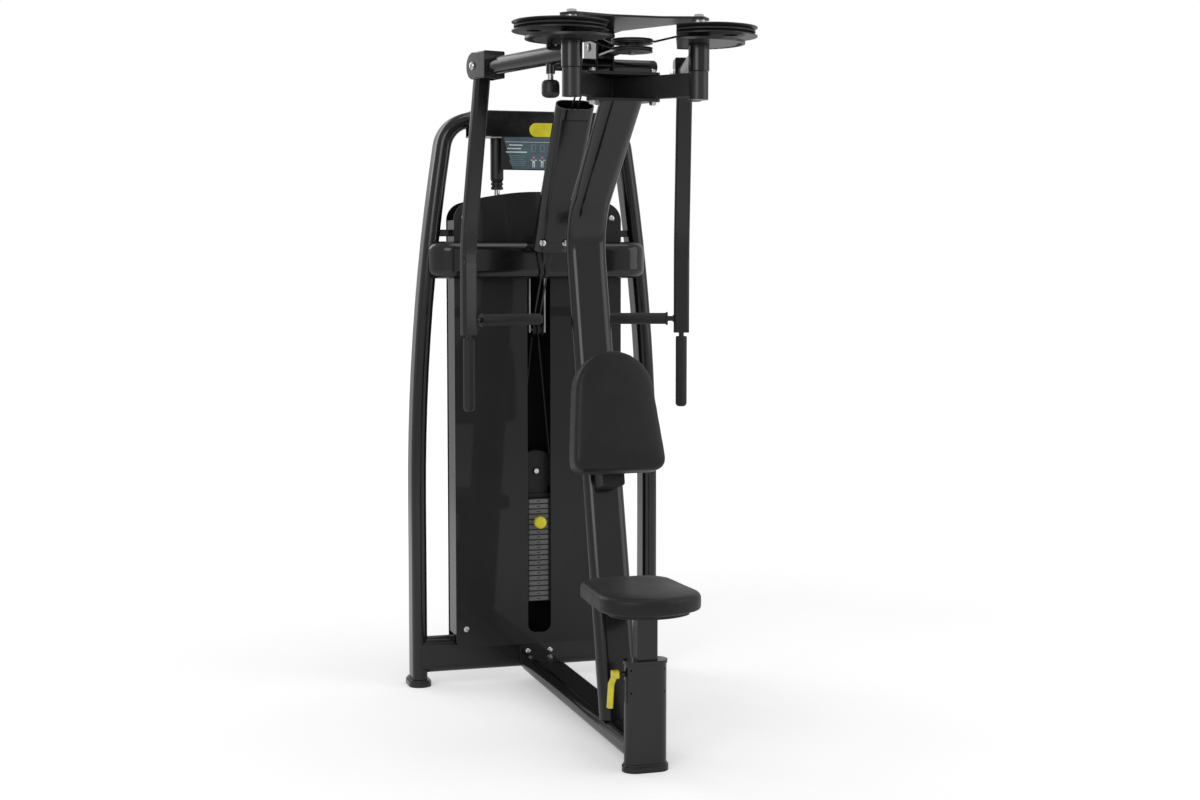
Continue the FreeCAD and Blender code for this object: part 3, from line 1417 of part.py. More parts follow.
def build_stack():
    resting = PLATE_N - PLATES_UP
    save("plates_resting", *[weight_plate(k, 1.0) for k in range(resting)])
    save("plates_lifted", *[weight_plate(k, 1.0) for k in range(resting, PLATE_N)])
    save("weight_carriage", carriage(), carriage_bolt())
    pin, knob = selector_pin()
    save("selector_pin", pin, knob)
    save("guide_rods", *guide_rods())
    save("rod_sleeves", *rod_sleeves())
    save("stack_bumpers", *stack_bumpers())


os.makedirs("parts", exist_ok=True)
build_frame()
build_shroud()
build_seat()
build_top()
build_cable()
build_stack()
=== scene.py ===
import math

import bmesh
import bpy
import numpy as np
from mathutils import Matrix, Vector


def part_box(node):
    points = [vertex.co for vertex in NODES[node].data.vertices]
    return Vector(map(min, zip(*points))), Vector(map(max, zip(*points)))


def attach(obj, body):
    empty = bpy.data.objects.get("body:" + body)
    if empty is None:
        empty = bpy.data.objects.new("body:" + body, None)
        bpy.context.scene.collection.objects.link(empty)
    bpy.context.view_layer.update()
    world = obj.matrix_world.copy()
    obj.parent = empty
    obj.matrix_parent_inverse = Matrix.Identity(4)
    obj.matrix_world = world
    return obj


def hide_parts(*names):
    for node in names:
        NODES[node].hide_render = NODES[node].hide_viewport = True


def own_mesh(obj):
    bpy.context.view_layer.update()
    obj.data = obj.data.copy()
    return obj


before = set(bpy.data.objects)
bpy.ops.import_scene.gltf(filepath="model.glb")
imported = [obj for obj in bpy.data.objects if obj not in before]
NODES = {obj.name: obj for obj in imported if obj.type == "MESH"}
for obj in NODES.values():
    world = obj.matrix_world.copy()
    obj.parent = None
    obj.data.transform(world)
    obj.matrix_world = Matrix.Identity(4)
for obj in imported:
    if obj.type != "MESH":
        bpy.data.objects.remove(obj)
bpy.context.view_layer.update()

# ------------------------------------------------------------------ materials


def add(tree, kind, settings=None, **inputs):
    """New shader node with plain settings and input values."""
    made = tree.nodes.new(kind)
    for key, value in (settings or {}).items():
        setattr(made, key, value)
    for key, value in inputs.items():
        made.inputs[key.replace("_", " ")].default_value = value
    return made


def wire(tree, source, target, out=0, into=0):
    tree.links.new(source.outputs[out], target.inputs[into])


def new_material(name):
    mat = bpy.data.materials.new(name)
    mat.use_nodes = True
    tree = mat.node_tree
    return mat, tree, tree.nodes["Principled BSDF"]


def place(tree, stretch=(1, 1, 1)):
    """Object coordinates, which are the row frame in metres, stretched along each axis."""
    coord = add(tree, "ShaderNodeTexCoord")
    mapping = add(tree, "ShaderNodeMapping", Scale=stretch)
    wire(tree, coord, mapping, "Object", "Vector")
    return mapping


def noise(tree, mapping, scale, detail=4.0, rough=0.55):
    tex = add(tree, "ShaderNodeTexNoise", Scale=scale, Detail=detail, Roughness=rough)
    wire(tree, mapping, tex, 0, "Vector")
    return tex


def ramp(tree, source, low, high, start, end, out=0):
    """Maps start..end of source to low..high."""
    span = add(tree, "ShaderNodeMapRange")
    for key, value in (("From Min", start), ("From Max", end), ("To Min", low), ("To Max", high)):
        span.inputs[key].default_value = value
    wire(tree, source, span, out, "Value")
    return span


def tint(tree, fac, low, high):
    """Colour that runs from low to high with fac."""
    mix = add(tree, "ShaderNodeMix", {"data_type": "RGBA"})
    mix.inputs[6].default_value = (*low, 1)
    mix.inputs[7].default_value = (*high, 1)
    wire(tree, fac, mix, 0, 0)
    return mix


def bumped(tree, bsdf, heights, distance, last=None):
    """Adds up height sources, each with its own strength, over last into the shader's normal."""
    for source, strength, out in heights:
        bump = add(tree, "ShaderNodeBump", Strength=strength, Distance=distance)
        wire(tree, source, bump, out, "Height")
        if last:
            wire(tree, last, bump, 0, "Normal")
        last = bump
    wire(tree, last, bsdf, 0, "Normal")


def scaled(colour, by):
    return tuple(min(1.0, c * by) for c in colour)


EDGE_REACH, EDGE_PALER = 0.0022, 3.2


def paint(name, colour, rough, coat, peel, gloss=0.5):
    """Powder coat: orange peel, a little unevenness and rubbed, paler edges."""
    mat, tree, bsdf = new_material(name)
    at = place(tree)
    broad = noise(tree, at, 5.0, 3.0)
    fine = noise(tree, at, 900.0, 2.0)
    smear = noise(tree, at, 38.0, 6.0, 0.65)
    base = tint(tree, ramp(tree, broad, 0, 1, 0.3, 0.7), scaled(colour, 0.93), scaled(colour, 1.07))
    edge = add(tree, "ShaderNodeBevel", {"samples": 4}, Radius=EDGE_REACH)
    flat = add(tree, "ShaderNodeNewGeometry")
    meet = add(tree, "ShaderNodeVectorMath", {"operation": "DOT_PRODUCT"})
    wire(tree, edge, meet, 0, 0)
    wire(tree, flat, meet, "Normal", 1)
    worn = ramp(tree, meet, 0.5, 0.0, 0.86, 0.99, "Value")
    rubbed = add(tree, "ShaderNodeMix", {"data_type": "RGBA"})
    wire(tree, worn, rubbed, 0, 0)
    wire(tree, base, rubbed, 2, 6)
    rubbed.inputs[7].default_value = (*scaled(colour, EDGE_PALER), 1)
    wire(tree, rubbed, bsdf, 2, "Base Color")
    wire(tree, ramp(tree, smear, rough - 0.02, rough + 0.03, 0.35, 0.72), bsdf, 0, "Roughness")
    bsdf.inputs["Coat Weight"].default_value = coat
    bsdf.inputs["Coat Roughness"].default_value = 0.05
    bsdf.inputs["Specular IOR Level"].default_value = gloss
    bumped(tree, bsdf, ((fine, peel, 0), (broad, peel * 0.5, 0)), 0.0003, edge)
    return mat


def metal(name, colour, rough, stretch, grain):
    """Bare or plated steel with directional grain and darker handling marks."""
    mat, tree, bsdf = new_material(name)
    lines = noise(tree, place(tree, stretch), 260.0, 3.0)
    marks = noise(tree, place(tree), 30.0, 6.0, 0.7)
    base = tint(tree, ramp(tree, marks, 0, 1, 0.35, 0.7), scaled(colour, 0.75), colour)
    wire(tree, base, bsdf, 2, "Base Color")
    bsdf.inputs["Metallic"].default_value = 1.0
    wire(tree, ramp(tree, lines, rough - 0.05, rough + 0.12, 0.3, 0.75), bsdf, 0, "Roughness")
    bumped(tree, bsdf, ((lines, grain, 0),), 0.0002)
    return mat


def moulded(name, colour, rough, grain, depth, coat=0.0, sheen=0.0):
    """Moulded plastic or rubber with a spark-eroded grain: cells per metre and depth of the bumps."""
    mat, tree, bsdf = new_material(name)
    at = place(tree)
    cells = add(tree, "ShaderNodeTexVoronoi", Scale=grain)
    wire(tree, at, cells, 0, "Vector")
    blotch = noise(tree, at, 22.0, 5.0, 0.6)
    base = tint(tree, ramp(tree, blotch, 0, 1, 0.3, 0.7), scaled(colour, 0.85), scaled(colour, 1.18))
    wire(tree, base, bsdf, 2, "Base Color")
    wire(tree, ramp(tree, blotch, rough - 0.05, rough + 0.08, 0.35, 0.7), bsdf, 0, "Roughness")
    bsdf.inputs["Coat Weight"].default_value = coat
    bsdf.inputs["Sheen Weight"].default_value = sheen
    bumped(tree, bsdf, ((cells, depth, 0), (blotch, depth * 0.4, 0)), 0.0003)
    return mat


def vinyl(name, colour):
    """Upholstery vinyl: leather cells, finer creases between them, slight polish where it is used."""
    mat, tree, bsdf = new_material(name)
    at = place(tree)
    warp = noise(tree, at, 150.0, 2.0)
    shift = add(tree, "ShaderNodeVectorMath", {"operation": "SCALE"}, Scale=0.004)
    wire(tree, warp, shift, 1, 0)
    moved = add(tree, "ShaderNodeVectorMath", {"operation": "ADD"})
    wire(tree, at, moved, 0, 0)
    wire(tree, shift, moved, 0, 1)
    cells = add(tree, "ShaderNodeTexVoronoi", {"feature": "DISTANCE_TO_EDGE"}, Scale=520.0)
    wire(tree, moved, cells, 0, "Vector")
    creases = ramp(tree, cells, 0, 1, 0.0, 0.16)
    fine = noise(tree, at, 1400.0, 3.0)
    wear = noise(tree, at, 9.0, 4.0, 0.6)
    base = tint(tree, ramp(tree, wear, 0, 1, 0.35, 0.68), scaled(colour, 0.86), scaled(colour, 1.25))
    wire(tree, base, bsdf, 2, "Base Color")
    wire(tree, ramp(tree, wear, 0.36, 0.46, 0.35, 0.7), bsdf, 0, "Roughness")
    bsdf.inputs["Sheen Weight"].default_value = 0.05
    bsdf.inputs["Specular IOR Level"].default_value = 0.36
    bumped(tree, bsdf, ((creases, 0.16, 0), (fine, 0.08, 0), (wear, 0.05, 0)), 0.0005)
    return mat


def iron(name, colour):
    """Enamelled cast iron: pitted skin with paler rubbed corners."""
    mat, tree, bsdf = new_material(name)
    at = place(tree)
    pits = noise(tree, at, 420.0, 6.0, 0.7)
    rubs = noise(tree, at, 60.0, 5.0, 0.6)
    base = tint(tree, ramp(tree, rubs, 0, 1, 0.45, 0.75), colour, scaled(colour, 1.9))
    wire(tree, base, bsdf, 2, "Base Color")
    wire(tree, ramp(tree, rubs, 0.38, 0.56, 0.35, 0.7), bsdf, 0, "Roughness")
    bsdf.inputs["Metallic"].default_value = 0.15
    bumped(tree, bsdf, ((pits, 0.22, 0), (rubs, 0.1, 0)), 0.0006)
    return mat


def cable_skin(name):
    """Nylon sheath over wire rope, the strands showing faintly through it."""
    mat, tree, bsdf = new_material(name)
    twist = add(tree, "ShaderNodeTexWave", {"bands_direction": "DIAGONAL"}, Scale=160.0, Distortion=0.6)
    wire(tree, place(tree), twist, 0, "Vector")
    blot = noise(tree, place(tree), 120.0, 4.0)
    base = tint(tree, ramp(tree, blot, 0, 1, 0.3, 0.7), (0.012, 0.012, 0.013), (0.03, 0.03, 0.032))
    wire(tree, base, bsdf, 2, "Base Color")
    bsdf.inputs["Roughness"].default_value = 0.5
    bsdf.inputs["Coat Weight"].default_value = 0.05
    bumped(tree, bsdf, ((twist, 0.35, 1), (blot, 0.08, 0)), 0.0004)
    return mat


def copy_links(tree, links, copies):
    """Joins copied nodes as the nodes they were copied from are joined."""
    for entry in links:
        if entry.to_node.name in copies and entry.from_node.name in copies:
            out = list(entry.from_node.outputs).index(entry.from_socket)
            into = list(entry.to_node.inputs).index(entry.to_socket)
            wire(tree, copies[entry.from_node.name], copies[entry.to_node.name], out, into)


def two_part(name, first, second, axis, edge, below=True):
    """Second material below the place edge on an axis, or above it, and first material elsewhere.

    axis is X, Y or Z, or absX for the distance from the middle plane."""
    mat = first.copy()
    mat.name = name
    tree = mat.node_tree
    bsdf = tree.nodes["Principled BSDF"]
    wanted = [n for n in second.node_tree.nodes if n.bl_idname != "ShaderNodeOutputMaterial"]
    copies = {n.name: clone(tree, n) for n in wanted}
    copy_links(tree, second.node_tree.links, copies)
    split = add(tree, "ShaderNodeSeparateXYZ")
    wire(tree, place(tree), split, 0, 0)
    source = split
    socket = "XYZ".index(axis[-1])
    if axis.startswith("abs"):
        source = add(tree, "ShaderNodeMath", {"operation": "ABSOLUTE"})
        wire(tree, split, source, socket, 0)
        socket = 0
    test = add(tree, "ShaderNodeMath", {"operation": "LESS_THAN" if below else "GREATER_THAN"})
    test.inputs[1].default_value = edge
    wire(tree, source, test, socket, 0)
    blend = add(tree, "ShaderNodeMixShader")
    wire(tree, test, blend, 0, 0)
    wire(tree, bsdf, blend, 0, 1)
    wire(tree, copies["Principled BSDF"], blend, 0, 2)
    wire(tree, blend, tree.nodes["Material Output"], 0, 0)
    return mat


def clone(tree, source):
    """Copy of a shader node, with its settings and input values but no links."""
    made = tree.nodes.new(source.bl_idname)
    for key in ("operation", "feature", "data_type", "bands_direction"):
        if hasattr(source, key):
            setattr(made, key, getattr(source, key))
    for old, new in zip(source.inputs, made.inputs):
        if hasattr(old, "default_value"):
            try:
                new.default_value = old.default_value
            except (TypeError, AttributeError):
                continue
    return made


M = {
    "frame": paint("frame_paint", (0.007, 0.0071, 0.0076), 0.16, 0.2, 0.012),
    "arm": paint("arm_paint", (0.0078, 0.0079, 0.0084), 0.18, 0.2, 0.014),
    "satin": paint("satin_paint", (0.012, 0.012, 0.0128), 0.3, 0.1, 0.02),
    # The yoke carries the frame's black paint, made about three times lighter and rougher: painted light
    # against the shade it sits in under the cams and top plate.
    "yoke": paint("yoke_paint_painted_light", (0.021, 0.0212, 0.022), 0.3, 0.1, 0.012),
    "shroud": paint("shroud_gloss", (0.0255, 0.0256, 0.0264), 0.045, 0.0, 0.003, 0.22),
    # Near-black, rough paint on the shroud shell's rear: painted shade for the inside of the shroud seen
    # through the slot, standing in place of its reflection.
    "inside": paint("inside_dark", (0.003, 0.003, 0.0032), 0.6, 0.0, 0.03, 0.2),
    "cover": moulded("cover_gloss", (0.0055, 0.0055, 0.0062), 0.2, 500.0, 0.008, 0.2),
    "vinyl": vinyl("pad_vinyl", (0.0075, 0.0075, 0.0079)),
    "board": moulded("board_plastic", (0.008, 0.008, 0.0085), 0.55, 700.0, 0.15),
    "cap": moulded("cap_plastic", (0.012, 0.012, 0.013), 0.36, 800.0, 0.06),
    "grip": moulded("grip_rubber", (0.0085, 0.0085, 0.009), 0.55, 620.0, 0.25, 0.0, 0.06),
    "rubber": moulded("bumper_rubber", (0.012, 0.012, 0.012), 0.6, 500.0, 0.2),
    "nylon": moulded("pulley_nylon", (0.014, 0.014, 0.0155), 0.32, 600.0, 0.05),
    "roller": moulded("roller_black", (0.004, 0.004, 0.0045), 0.4, 600.0, 0.05),
    "iron": iron("plate_enamel", (0.008, 0.0082, 0.0088)),
    "chrome": metal("bolt_chrome", (0.86, 0.865, 0.87), 0.1, (1, 1, 1), 0.02),
    "rod": metal("rod_chrome", (0.8, 0.81, 0.82), 0.12, (40, 40, 1), 0.02),
    "steel": metal("ground_steel", (0.58, 0.585, 0.6), 0.26, (1, 1, 60), 0.08),
    "yellow": moulded("yellow_plastic", (0.72, 0.63, 0.012), 0.3, 900.0, 0.05, 0.4),
    "teal": moulded("placard_print", (0.075, 0.125, 0.14), 0.35, 1200.0, 0.03, 0.3),
    "ink": moulded("print_pale", (0.62, 0.66, 0.66), 0.45, 1200.0, 0.03),
    "inkdim": moulded("print_dim", (0.16, 0.23, 0.25), 0.45, 1200.0, 0.03),
    "label": moulded("plate_label", (0.12, 0.12, 0.122), 0.42, 1200.0, 0.04),
    "salmon": moulded("print_salmon", (0.5, 0.22, 0.2), 0.45, 1200.0, 0.03),
    "cable": cable_skin("cable_sheath"),
}
# Shroud gloss in front of y 1.2285 and painted shade behind it, on the shell's rear.
M["shell"] = two_part("shell_gloss_and_painted_shade", M["shroud"], M["inside"], "Y", 1.2285, False)
M["stop"] = two_part("stop_bar_mix", M["frame"], M["rubber"], "absX", 0.1399, False)
M["selector"] = two_part("selector_mix", M["steel"], M["yellow"], "Y", 1.1145)
M["lever"] = two_part("lever_mix", M["yellow"], M["cap"], "X", -0.0781, False)
M["pin"] = two_part("pin_mix", M["steel"], M["cap"], "Z", 1.8945)

NODE_LOOK = {
    "rear_arch": "frame", "lower_crossbar": "frame", "mid_crossbar": "frame", "base_beam": "frame",
    "front_column": "frame", "main_column": "frame", "rear_strut": "frame", "yoke": "yoke",
    "clamp_plates": "satin", "top_plate": "satin", "back_pad_bracket": "board", "shroud_tabs": "frame",
    "floor_caps": "frame", "column_cap": "frame", "frame_fasteners": "chrome", "back_pad": "vinyl",
    "seat_pad": "vinyl", "back_pad_board": "board", "seat_board": "board", "shroud_front": "shroud",
    "shroud_shell": "shell", "top_cover": "cover", "placard": "board", "stop_bar": "stop",
    "pivot_shafts": "steel", "pulley_axles": "steel", "arm_cables": "cable", "stack_cable": "cable",
    "plates_resting": "iron", "plates_lifted": "iron", "guide_rods": "rod", "rod_sleeves": "cap",
    "stack_bumpers": "rubber", "weight_carriage": "iron", "carriage_pulley": "nylon",
    "upper_centre_pulley": "nylon", "lower_centre_pulley": "nylon", "cheek_pulleys": "nylon",
    "strut_pulleys": "roller", "stack_rollers": "roller", "selector_pin": "selector",
    "seat_post": "frame", "seat_lever": "lever", "seat_latch": "steel",
}
SIDE_LOOK = {"range_plate": "satin", "cam": "satin", "arm": "arm", "arm_bushes": "nylon",
             "handle_bolt": "chrome", "handle_tube": "arm", "grips": "grip", "pull_pin": "pin"}
for half in ("left", "right"):
    for part, look in SIDE_LOOK.items():
        NODE_LOOK[half + "_" + part] = look
for name, look in NODE_LOOK.items():
    slots = NODES[name].data.materials
    slots.clear()
    slots.append(M[look])


def finish_mesh(obj, look, body):
    obj.data.materials.clear()
    obj.data.materials.append(M[look])
    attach(obj, body)
    return obj


def new_piece(name, build):
    """New object whose mesh is filled by build(bmesh)."""
    bm = bmesh.new()
    build(bm)
    bmesh.ops.recalc_face_normals(bm, faces=bm.faces)
    mesh = bpy.data.meshes.new(name)
    bm.to_mesh(mesh)
    bm.free()
    obj = bpy.data.objects.new(name, mesh)
    bpy.context.scene.collection.objects.link(obj)
    return obj


# ------------------------------------------------------------------ cushions


PAD_VOXEL, PAD_WELD = 0.0055, 0.0002
PAD_SHRINK = 0.004
PAD_SWELL = 0.006
HELD_DEPTH = 0.010
CLOTH_FRAMES = 20
PRESSURE, STRETCH_STIFFNESS, BEND_STIFFNESS = 4.0, 12, 2.0
SWELL_BLUR, MOVE_BLUR = 40, 12


def shrunk(obj, middle, out):
    """Draws the mesh in towards the line through middle along out."""
    for vertex in obj.data.vertices:
        offset = vertex.co - middle
        depth = offset.dot(out)
        flat = offset - out * depth
        reach = max(flat.length, 1e-6)
        vertex.co = middle + flat * (1 - PAD_SHRINK / reach) + out * depth


def remeshed(obj):
    """Replaces the CAD facets by an even mesh."""
    weld = obj.modifiers.new("weld", "WELD")
    weld.merge_threshold = PAD_WELD
    remesh = obj.modifiers.new("remesh", "REMESH")
    remesh.mode = "VOXEL"
    remesh.voxel_size = PAD_VOXEL
    bpy.context.view_layer.update()
    settle(obj)


def puffed_up(obj):
    """Places of the vertices after Cloth has blown the mesh up, its held vertices staying put."""
    cloth = obj.modifiers.new("cloth", "CLOTH")
    cloth.settings.quality = 6
    cloth.settings.use_pressure = True
    cloth.settings.uniform_pressure_force = PRESSURE
    cloth.settings.effector_weights.gravity = 0.0
    cloth.settings.vertex_group_mass = "held"
    cloth.settings.tension_stiffness = STRETCH_STIFFNESS
    cloth.settings.compression_stiffness = STRETCH_STIFFNESS
    cloth.settings.bending_stiffness = BEND_STIFFNESS
    cloth.collision_settings.use_collision = False
    cloth.point_cache.frame_start = 1
    cloth.point_cache.frame_end = CLOTH_FRAMES
    for step in range(1, CLOTH_FRAMES + 1):
        bpy.context.scene.frame_set(step)
    graph = bpy.context.evaluated_depsgraph_get()
    puffed = coordinates(obj.evaluated_get(graph))
    obj.modifiers.clear()
    bpy.context.scene.frame_set(1)
    return puffed


def cushion(name, node, body, facing):
    """Foam pad in vinyl: the CAD outline, remeshed and puffed up by Cloth, its back held flat.

    facing is the direction out of the pad's board."""
    obj = bpy.data.objects.new(name, NODES[node].data.copy())
    bpy.context.scene.collection.objects.link(obj)
    low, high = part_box(node)
    middle = (low + high) / 2
    out = Vector(facing).normalized()
    shrunk(obj, middle, out)
    obj.data.materials.clear()
    bpy.context.view_layer.objects.active = obj
    remeshed(obj)
    rest = coordinates(obj)
    depth = (rest - np.array(middle)) @ np.array(out)
    held = obj.vertex_groups.new(name="held")
    held.add([int(i) for i in np.where(depth < depth.min() + HELD_DEPTH)[0]], 1.0, "REPLACE")
    puffed = puffed_up(obj)
    normals = coordinates(obj, "normal")
    swell = np.maximum(((puffed - rest) * normals).sum(axis=1), 0.0)
    swell = evened(obj, np.tanh(swell / PAD_SWELL) * PAD_SWELL, SWELL_BLUR)
    blown = rest + evened(obj, normals * swell[:, None], MOVE_BLUR)
    obj.data.vertices.foreach_set("co", blown.astype(np.float32).ravel())
    even = obj.modifiers.new("smooth", "CORRECTIVE_SMOOTH")
    even.use_only_smooth = True
    even.iterations = 4
    finer = obj.modifiers.new("sub", "SUBSURF")
    finer.levels = 1
    finer.render_levels = 1
    settle(obj)
    obj.data.polygons.foreach_set("use_smooth", [True] * len(obj.data.polygons))
    finish_mesh(obj, "vinyl", body)
    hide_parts(node)


def coordinates(obj, kind="co"):
    """Each vertex's place, or its normal, as rows of three numbers."""
    co = np.zeros(len(obj.data.vertices) * 3, np.float32)
    obj.data.vertices.foreach_get(kind, co)
    return co.reshape(-1, 3).astype(float)


def evened(obj, field, times):
    """Blurs a value kept at each vertex along the mesh's edges."""
    ends = np.zeros(len(obj.data.edges) * 2, np.int32)
    obj.data.edges.foreach_get("vertices", ends)
    a, b = ends.reshape(-1, 2).T
    shared = np.bincount(ends, minlength=len(field)).astype(float)
    shared = shared.reshape([-1] + [1] * (field.ndim - 1))
    for _ in range(times):
        total = np.zeros_like(field)
        np.add.at(total, a, field[b])
        np.add.at(total, b, field[a])
        field = (field + total / np.maximum(shared, 1)) / 2
    return field


def settle(obj):
    """Applies every modifier to the mesh."""
    graph = bpy.context.evaluated_depsgraph_get()
    graph.update()
    mesh = bpy.data.meshes.new_from_object(obj.evaluated_get(graph), depsgraph=graph)
    obj.modifiers.clear()
    obj.data = mesh


cushion("seat_cushion", "seat_pad", "seat", (0, 0, 1))
cushion("back_cushion", "back_pad", "frame", (0, -0.969, 0.247))

# ------------------------------------------------------------------ small pieces


def loop_points(outline, origin, u, v):
    return [Vector(origin) + Vector(u) * a + Vector(v) * b for a, b in outline]


def prism(bm, outline, origin, u, v, depth, hole=None):
    """Flat plate from a closed outline, depth thick along u x v, with an optional hole of as many points."""
    out = Vector(u).cross(Vector(v)) * depth
    rims = [loop_points(outline, origin, u, v)]
    if hole:
        rims.append(loop_points(hole, origin, u, v))
    layers = [[[bm.verts.new(p + shift) for p in rim] for rim in rims] for shift in (Vector(), out)]
    count = len(outline)
    for k in range(count):
        after = (k + 1) % count
        for rim in range(len(rims)):
            bm.faces.new((layers[0][rim][k], layers[0][rim][after], layers[1][rim][after], layers[1][rim][k]))
        if hole:
            for layer in layers:
                bm.faces.new((layer[0][k], layer[0][after], layer[1][after], layer[1][k]))
    if not hole:
        for layer in layers:
            bm.faces.new(layer[0])


def pill(width, height, radius, steps=8):
    """Rounded rectangle about its middle."""
    spots = []
    for quarter, (a, b) in enumerate(((1, 1), (-1, 1), (-1, -1), (1, -1))):
        for step in range(steps + 1):
            turn = math.pi / 2 * (quarter + step / steps)
            spots.append((a * (width / 2 - radius) + radius * math.cos(turn),
                          b * (height / 2 - radius) + radius * math.sin(turn)))
    return spots


def ring_like(outline, radius):
    """Circle whose points lie in the same directions as the outline's."""
    return [(radius * math.cos(math.atan2(b, a)), radius * math.sin(math.atan2(b, a))) for a, b in outline]


def moved(outline, a, b):
    return [(p + a, q + b) for p, q in outline]


def tube(bm, path, radius, sides):
    """Round tube along path, with flat ends."""
    rings = []
    normal = None
    for k, at in enumerate(path):
        before = path[max(k - 1, 0)]
        after = path[min(k + 1, len(path) - 1)]
        along = (after - before).normalized()
        if normal is None:
            normal = along.orthogonal().normalized()
        normal = (normal - along * normal.dot(along)).normalized()
        across = along.cross(normal)
        rings.append([bm.verts.new(at + (normal * math.cos(t) + across * math.sin(t)) * radius)
                      for t in (2 * math.pi * s / sides for s in range(sides))])
    bm.faces.new(rings[0])
    bm.faces.new(rings[-1])
    for here, ahead in zip(rings, rings[1:]):
        for s in range(sides):
            nxt = (s + 1) % sides
            bm.faces.new((here[s], here[nxt], ahead[nxt], ahead[s]))


SHARP_TURN, BEVEL_TURN = math.radians(35), math.radians(40)


def smooth(obj):
    mesh = obj.data
    mesh.polygons.foreach_set("use_smooth", [True] * len(mesh.polygons))
    mesh.set_sharp_from_angle(angle=SHARP_TURN)


def soften(obj, width):
    """Rounds the edges of a small piece."""
    bevel = obj.modifiers.new("edges", "BEVEL")
    bevel.width = width
    bevel.segments = 2
    bevel.limit_method = "ANGLE"
    bevel.angle_limit = BEVEL_TURN


X_AXIS, Z_AXIS = (1, 0, 0), (0, 0, 1)
COVER_FACE = 1.122
PRINT_T, PRINT_OVER_T = 0.0004, 0.0006


def front_marks(name, look, shapes, face, body, depth):
    """Thin flat shapes that stand on a face looking towards -Y. Outlines are in x and z."""
    def build(bm):
        for outline in shapes:
            prism(bm, outline, (0, face, 0), X_AXIS, Z_AXIS, depth)
    return finish_mesh(new_piece(name, build), look, body)


BADGE_WIDE, BADGE_TALL, BADGE_R, BADGE_T = 0.150, 0.045, 0.0224, 0.0022
BADGE_X, BADGE_Z = 0.047, 1.825


def badge():
    """Plain yellow pill on the top cover."""
    outline = moved(pill(BADGE_WIDE, BADGE_TALL, BADGE_R, 12), BADGE_X, BADGE_Z)
    obj = front_marks("cover_badge", "yellow", [outline], COVER_FACE, "frame", BADGE_T)
    soften(obj, 0.0007)


def figure(x, z, size):
    """Generic body of a pictogram: trunk, arms and legs as bars."""
    trunk = pill(0.26 * size, 0.36 * size, 0.08 * size, 3)
    arms = pill(0.62 * size, 0.09 * size, 0.04 * size, 3)
    leg = pill(0.1 * size, 0.4 * size, 0.045 * size, 3)
    shapes = [moved(trunk, x, z), moved(arms, x, z + 0.13 * size)]
    for side in (-1, 1):
        shapes.append(moved(leg, x + side * 0.08 * size, z - 0.36 * size))
    return shapes


SHEET_TOP, SHEET_LOW, SHEET_HALF_TOP, SHEET_HALF_LOW = 1.7985, 1.6975, 0.115, 0.084
SHEET_RISE, SHEET_STEPS = 0.003, 16
COLUMNS_X = [-0.014 + column * 0.029 for column in range(4)]
TITLE_BARS = ((-0.0735, 1.7748, 0.046), (-0.080, 1.7635, 0.047), (-0.0718, 1.752, 0.071))
TEXT_ROWS, TEXT_TOP, TEXT_PITCH = 6, 1.741, 0.0062
ICON_BARS = ((0.0, 1.776, 0.021, 0.0035, 0.0014), (-0.006, 1.763, 0.0045, 0.022, 0.0018),
             (0.002, 1.7555, 0.014, 0.0035, 0.0014), (0.007, 1.766, 0.0035, 0.012, 0.0014))
FIGURE_Z, FIGURE_TALL, HEAD_Z = 1.7225, 0.034, 1.7355


def printed(name, look, shapes):
    """Marks printed on the placard's sheet."""
    front_marks(name, look, shapes, COVER_FACE - PRINT_T, "frame", PRINT_OVER_T)


def placard_print():
    """Teal panel with plain bars and simple pictograms in place of any wording."""
    sheet = [(-SHEET_HALF_TOP, SHEET_TOP), (-SHEET_HALF_LOW, SHEET_LOW),
             (SHEET_HALF_LOW, SHEET_LOW), (SHEET_HALF_TOP, SHEET_TOP)]
    for k in range(1, SHEET_STEPS):
        along = k / SHEET_STEPS
        sheet.append((SHEET_HALF_TOP * (1 - 2 * along), SHEET_TOP + SHEET_RISE * math.sin(math.pi * along)))
    front_marks("placard_sheet", "teal", [sheet], COVER_FACE, "frame", PRINT_T)
    bars = [moved(pill(0.150, 0.0016, 0.0006, 2), -0.034, 1.785)]
    bars += [moved(pill(width, 0.0042, 0.0014, 3), x, z) for x, z, width in TITLE_BARS]
    printed("placard_bars", "ink", bars)
    printed("placard_dim", "inkdim", [moved(pill(0.058 - 0.006 * (row % 3), 0.0024, 0.001, 2), -0.068,
                                            TEXT_TOP - row * TEXT_PITCH) for row in range(TEXT_ROWS)])
    printed("placard_icons", "inkdim", [moved(pill(wide, tall, r, 3), x + dx, z)
                                        for x in COLUMNS_X for dx, z, wide, tall, r in ICON_BARS])
    people = []
    for x in COLUMNS_X:
        people += figure(x, FIGURE_Z, FIGURE_TALL)
    printed("placard_figures", "ink", people)
    printed("placard_heads", "salmon", [moved(pill(0.0075, 0.0085, 0.0037, 6), x, HEAD_Z) for x in COLUMNS_X])


PLATE_LOW, PLATE_PITCH, PLATE_T = 0.267, 0.0172, 0.0168
PLATE_FACE = 1.123
PLATES, LIFTED = 20, 5
LABEL_WIDE, LABEL_TALL, LABEL_R, LABEL_T, PIN_HOLE_R = 0.066, 0.0128, 0.0032, 0.0004, 0.0056


def plate_labels(name, numbers, body):
    """Grey strip across each plate, cut out round its pin hole."""
    outline = pill(LABEL_WIDE, LABEL_TALL, LABEL_R, 6)
    hole = ring_like(outline, PIN_HOLE_R)

    def strips(bm):
        for k in numbers:
            z = PLATE_LOW + PLATE_PITCH * k + PLATE_T / 2
            prism(bm, outline, (0, PLATE_FACE, z), X_AXIS, Z_AXIS, LABEL_T, hole)

    finish_mesh(new_piece(name, strips), "label", body)


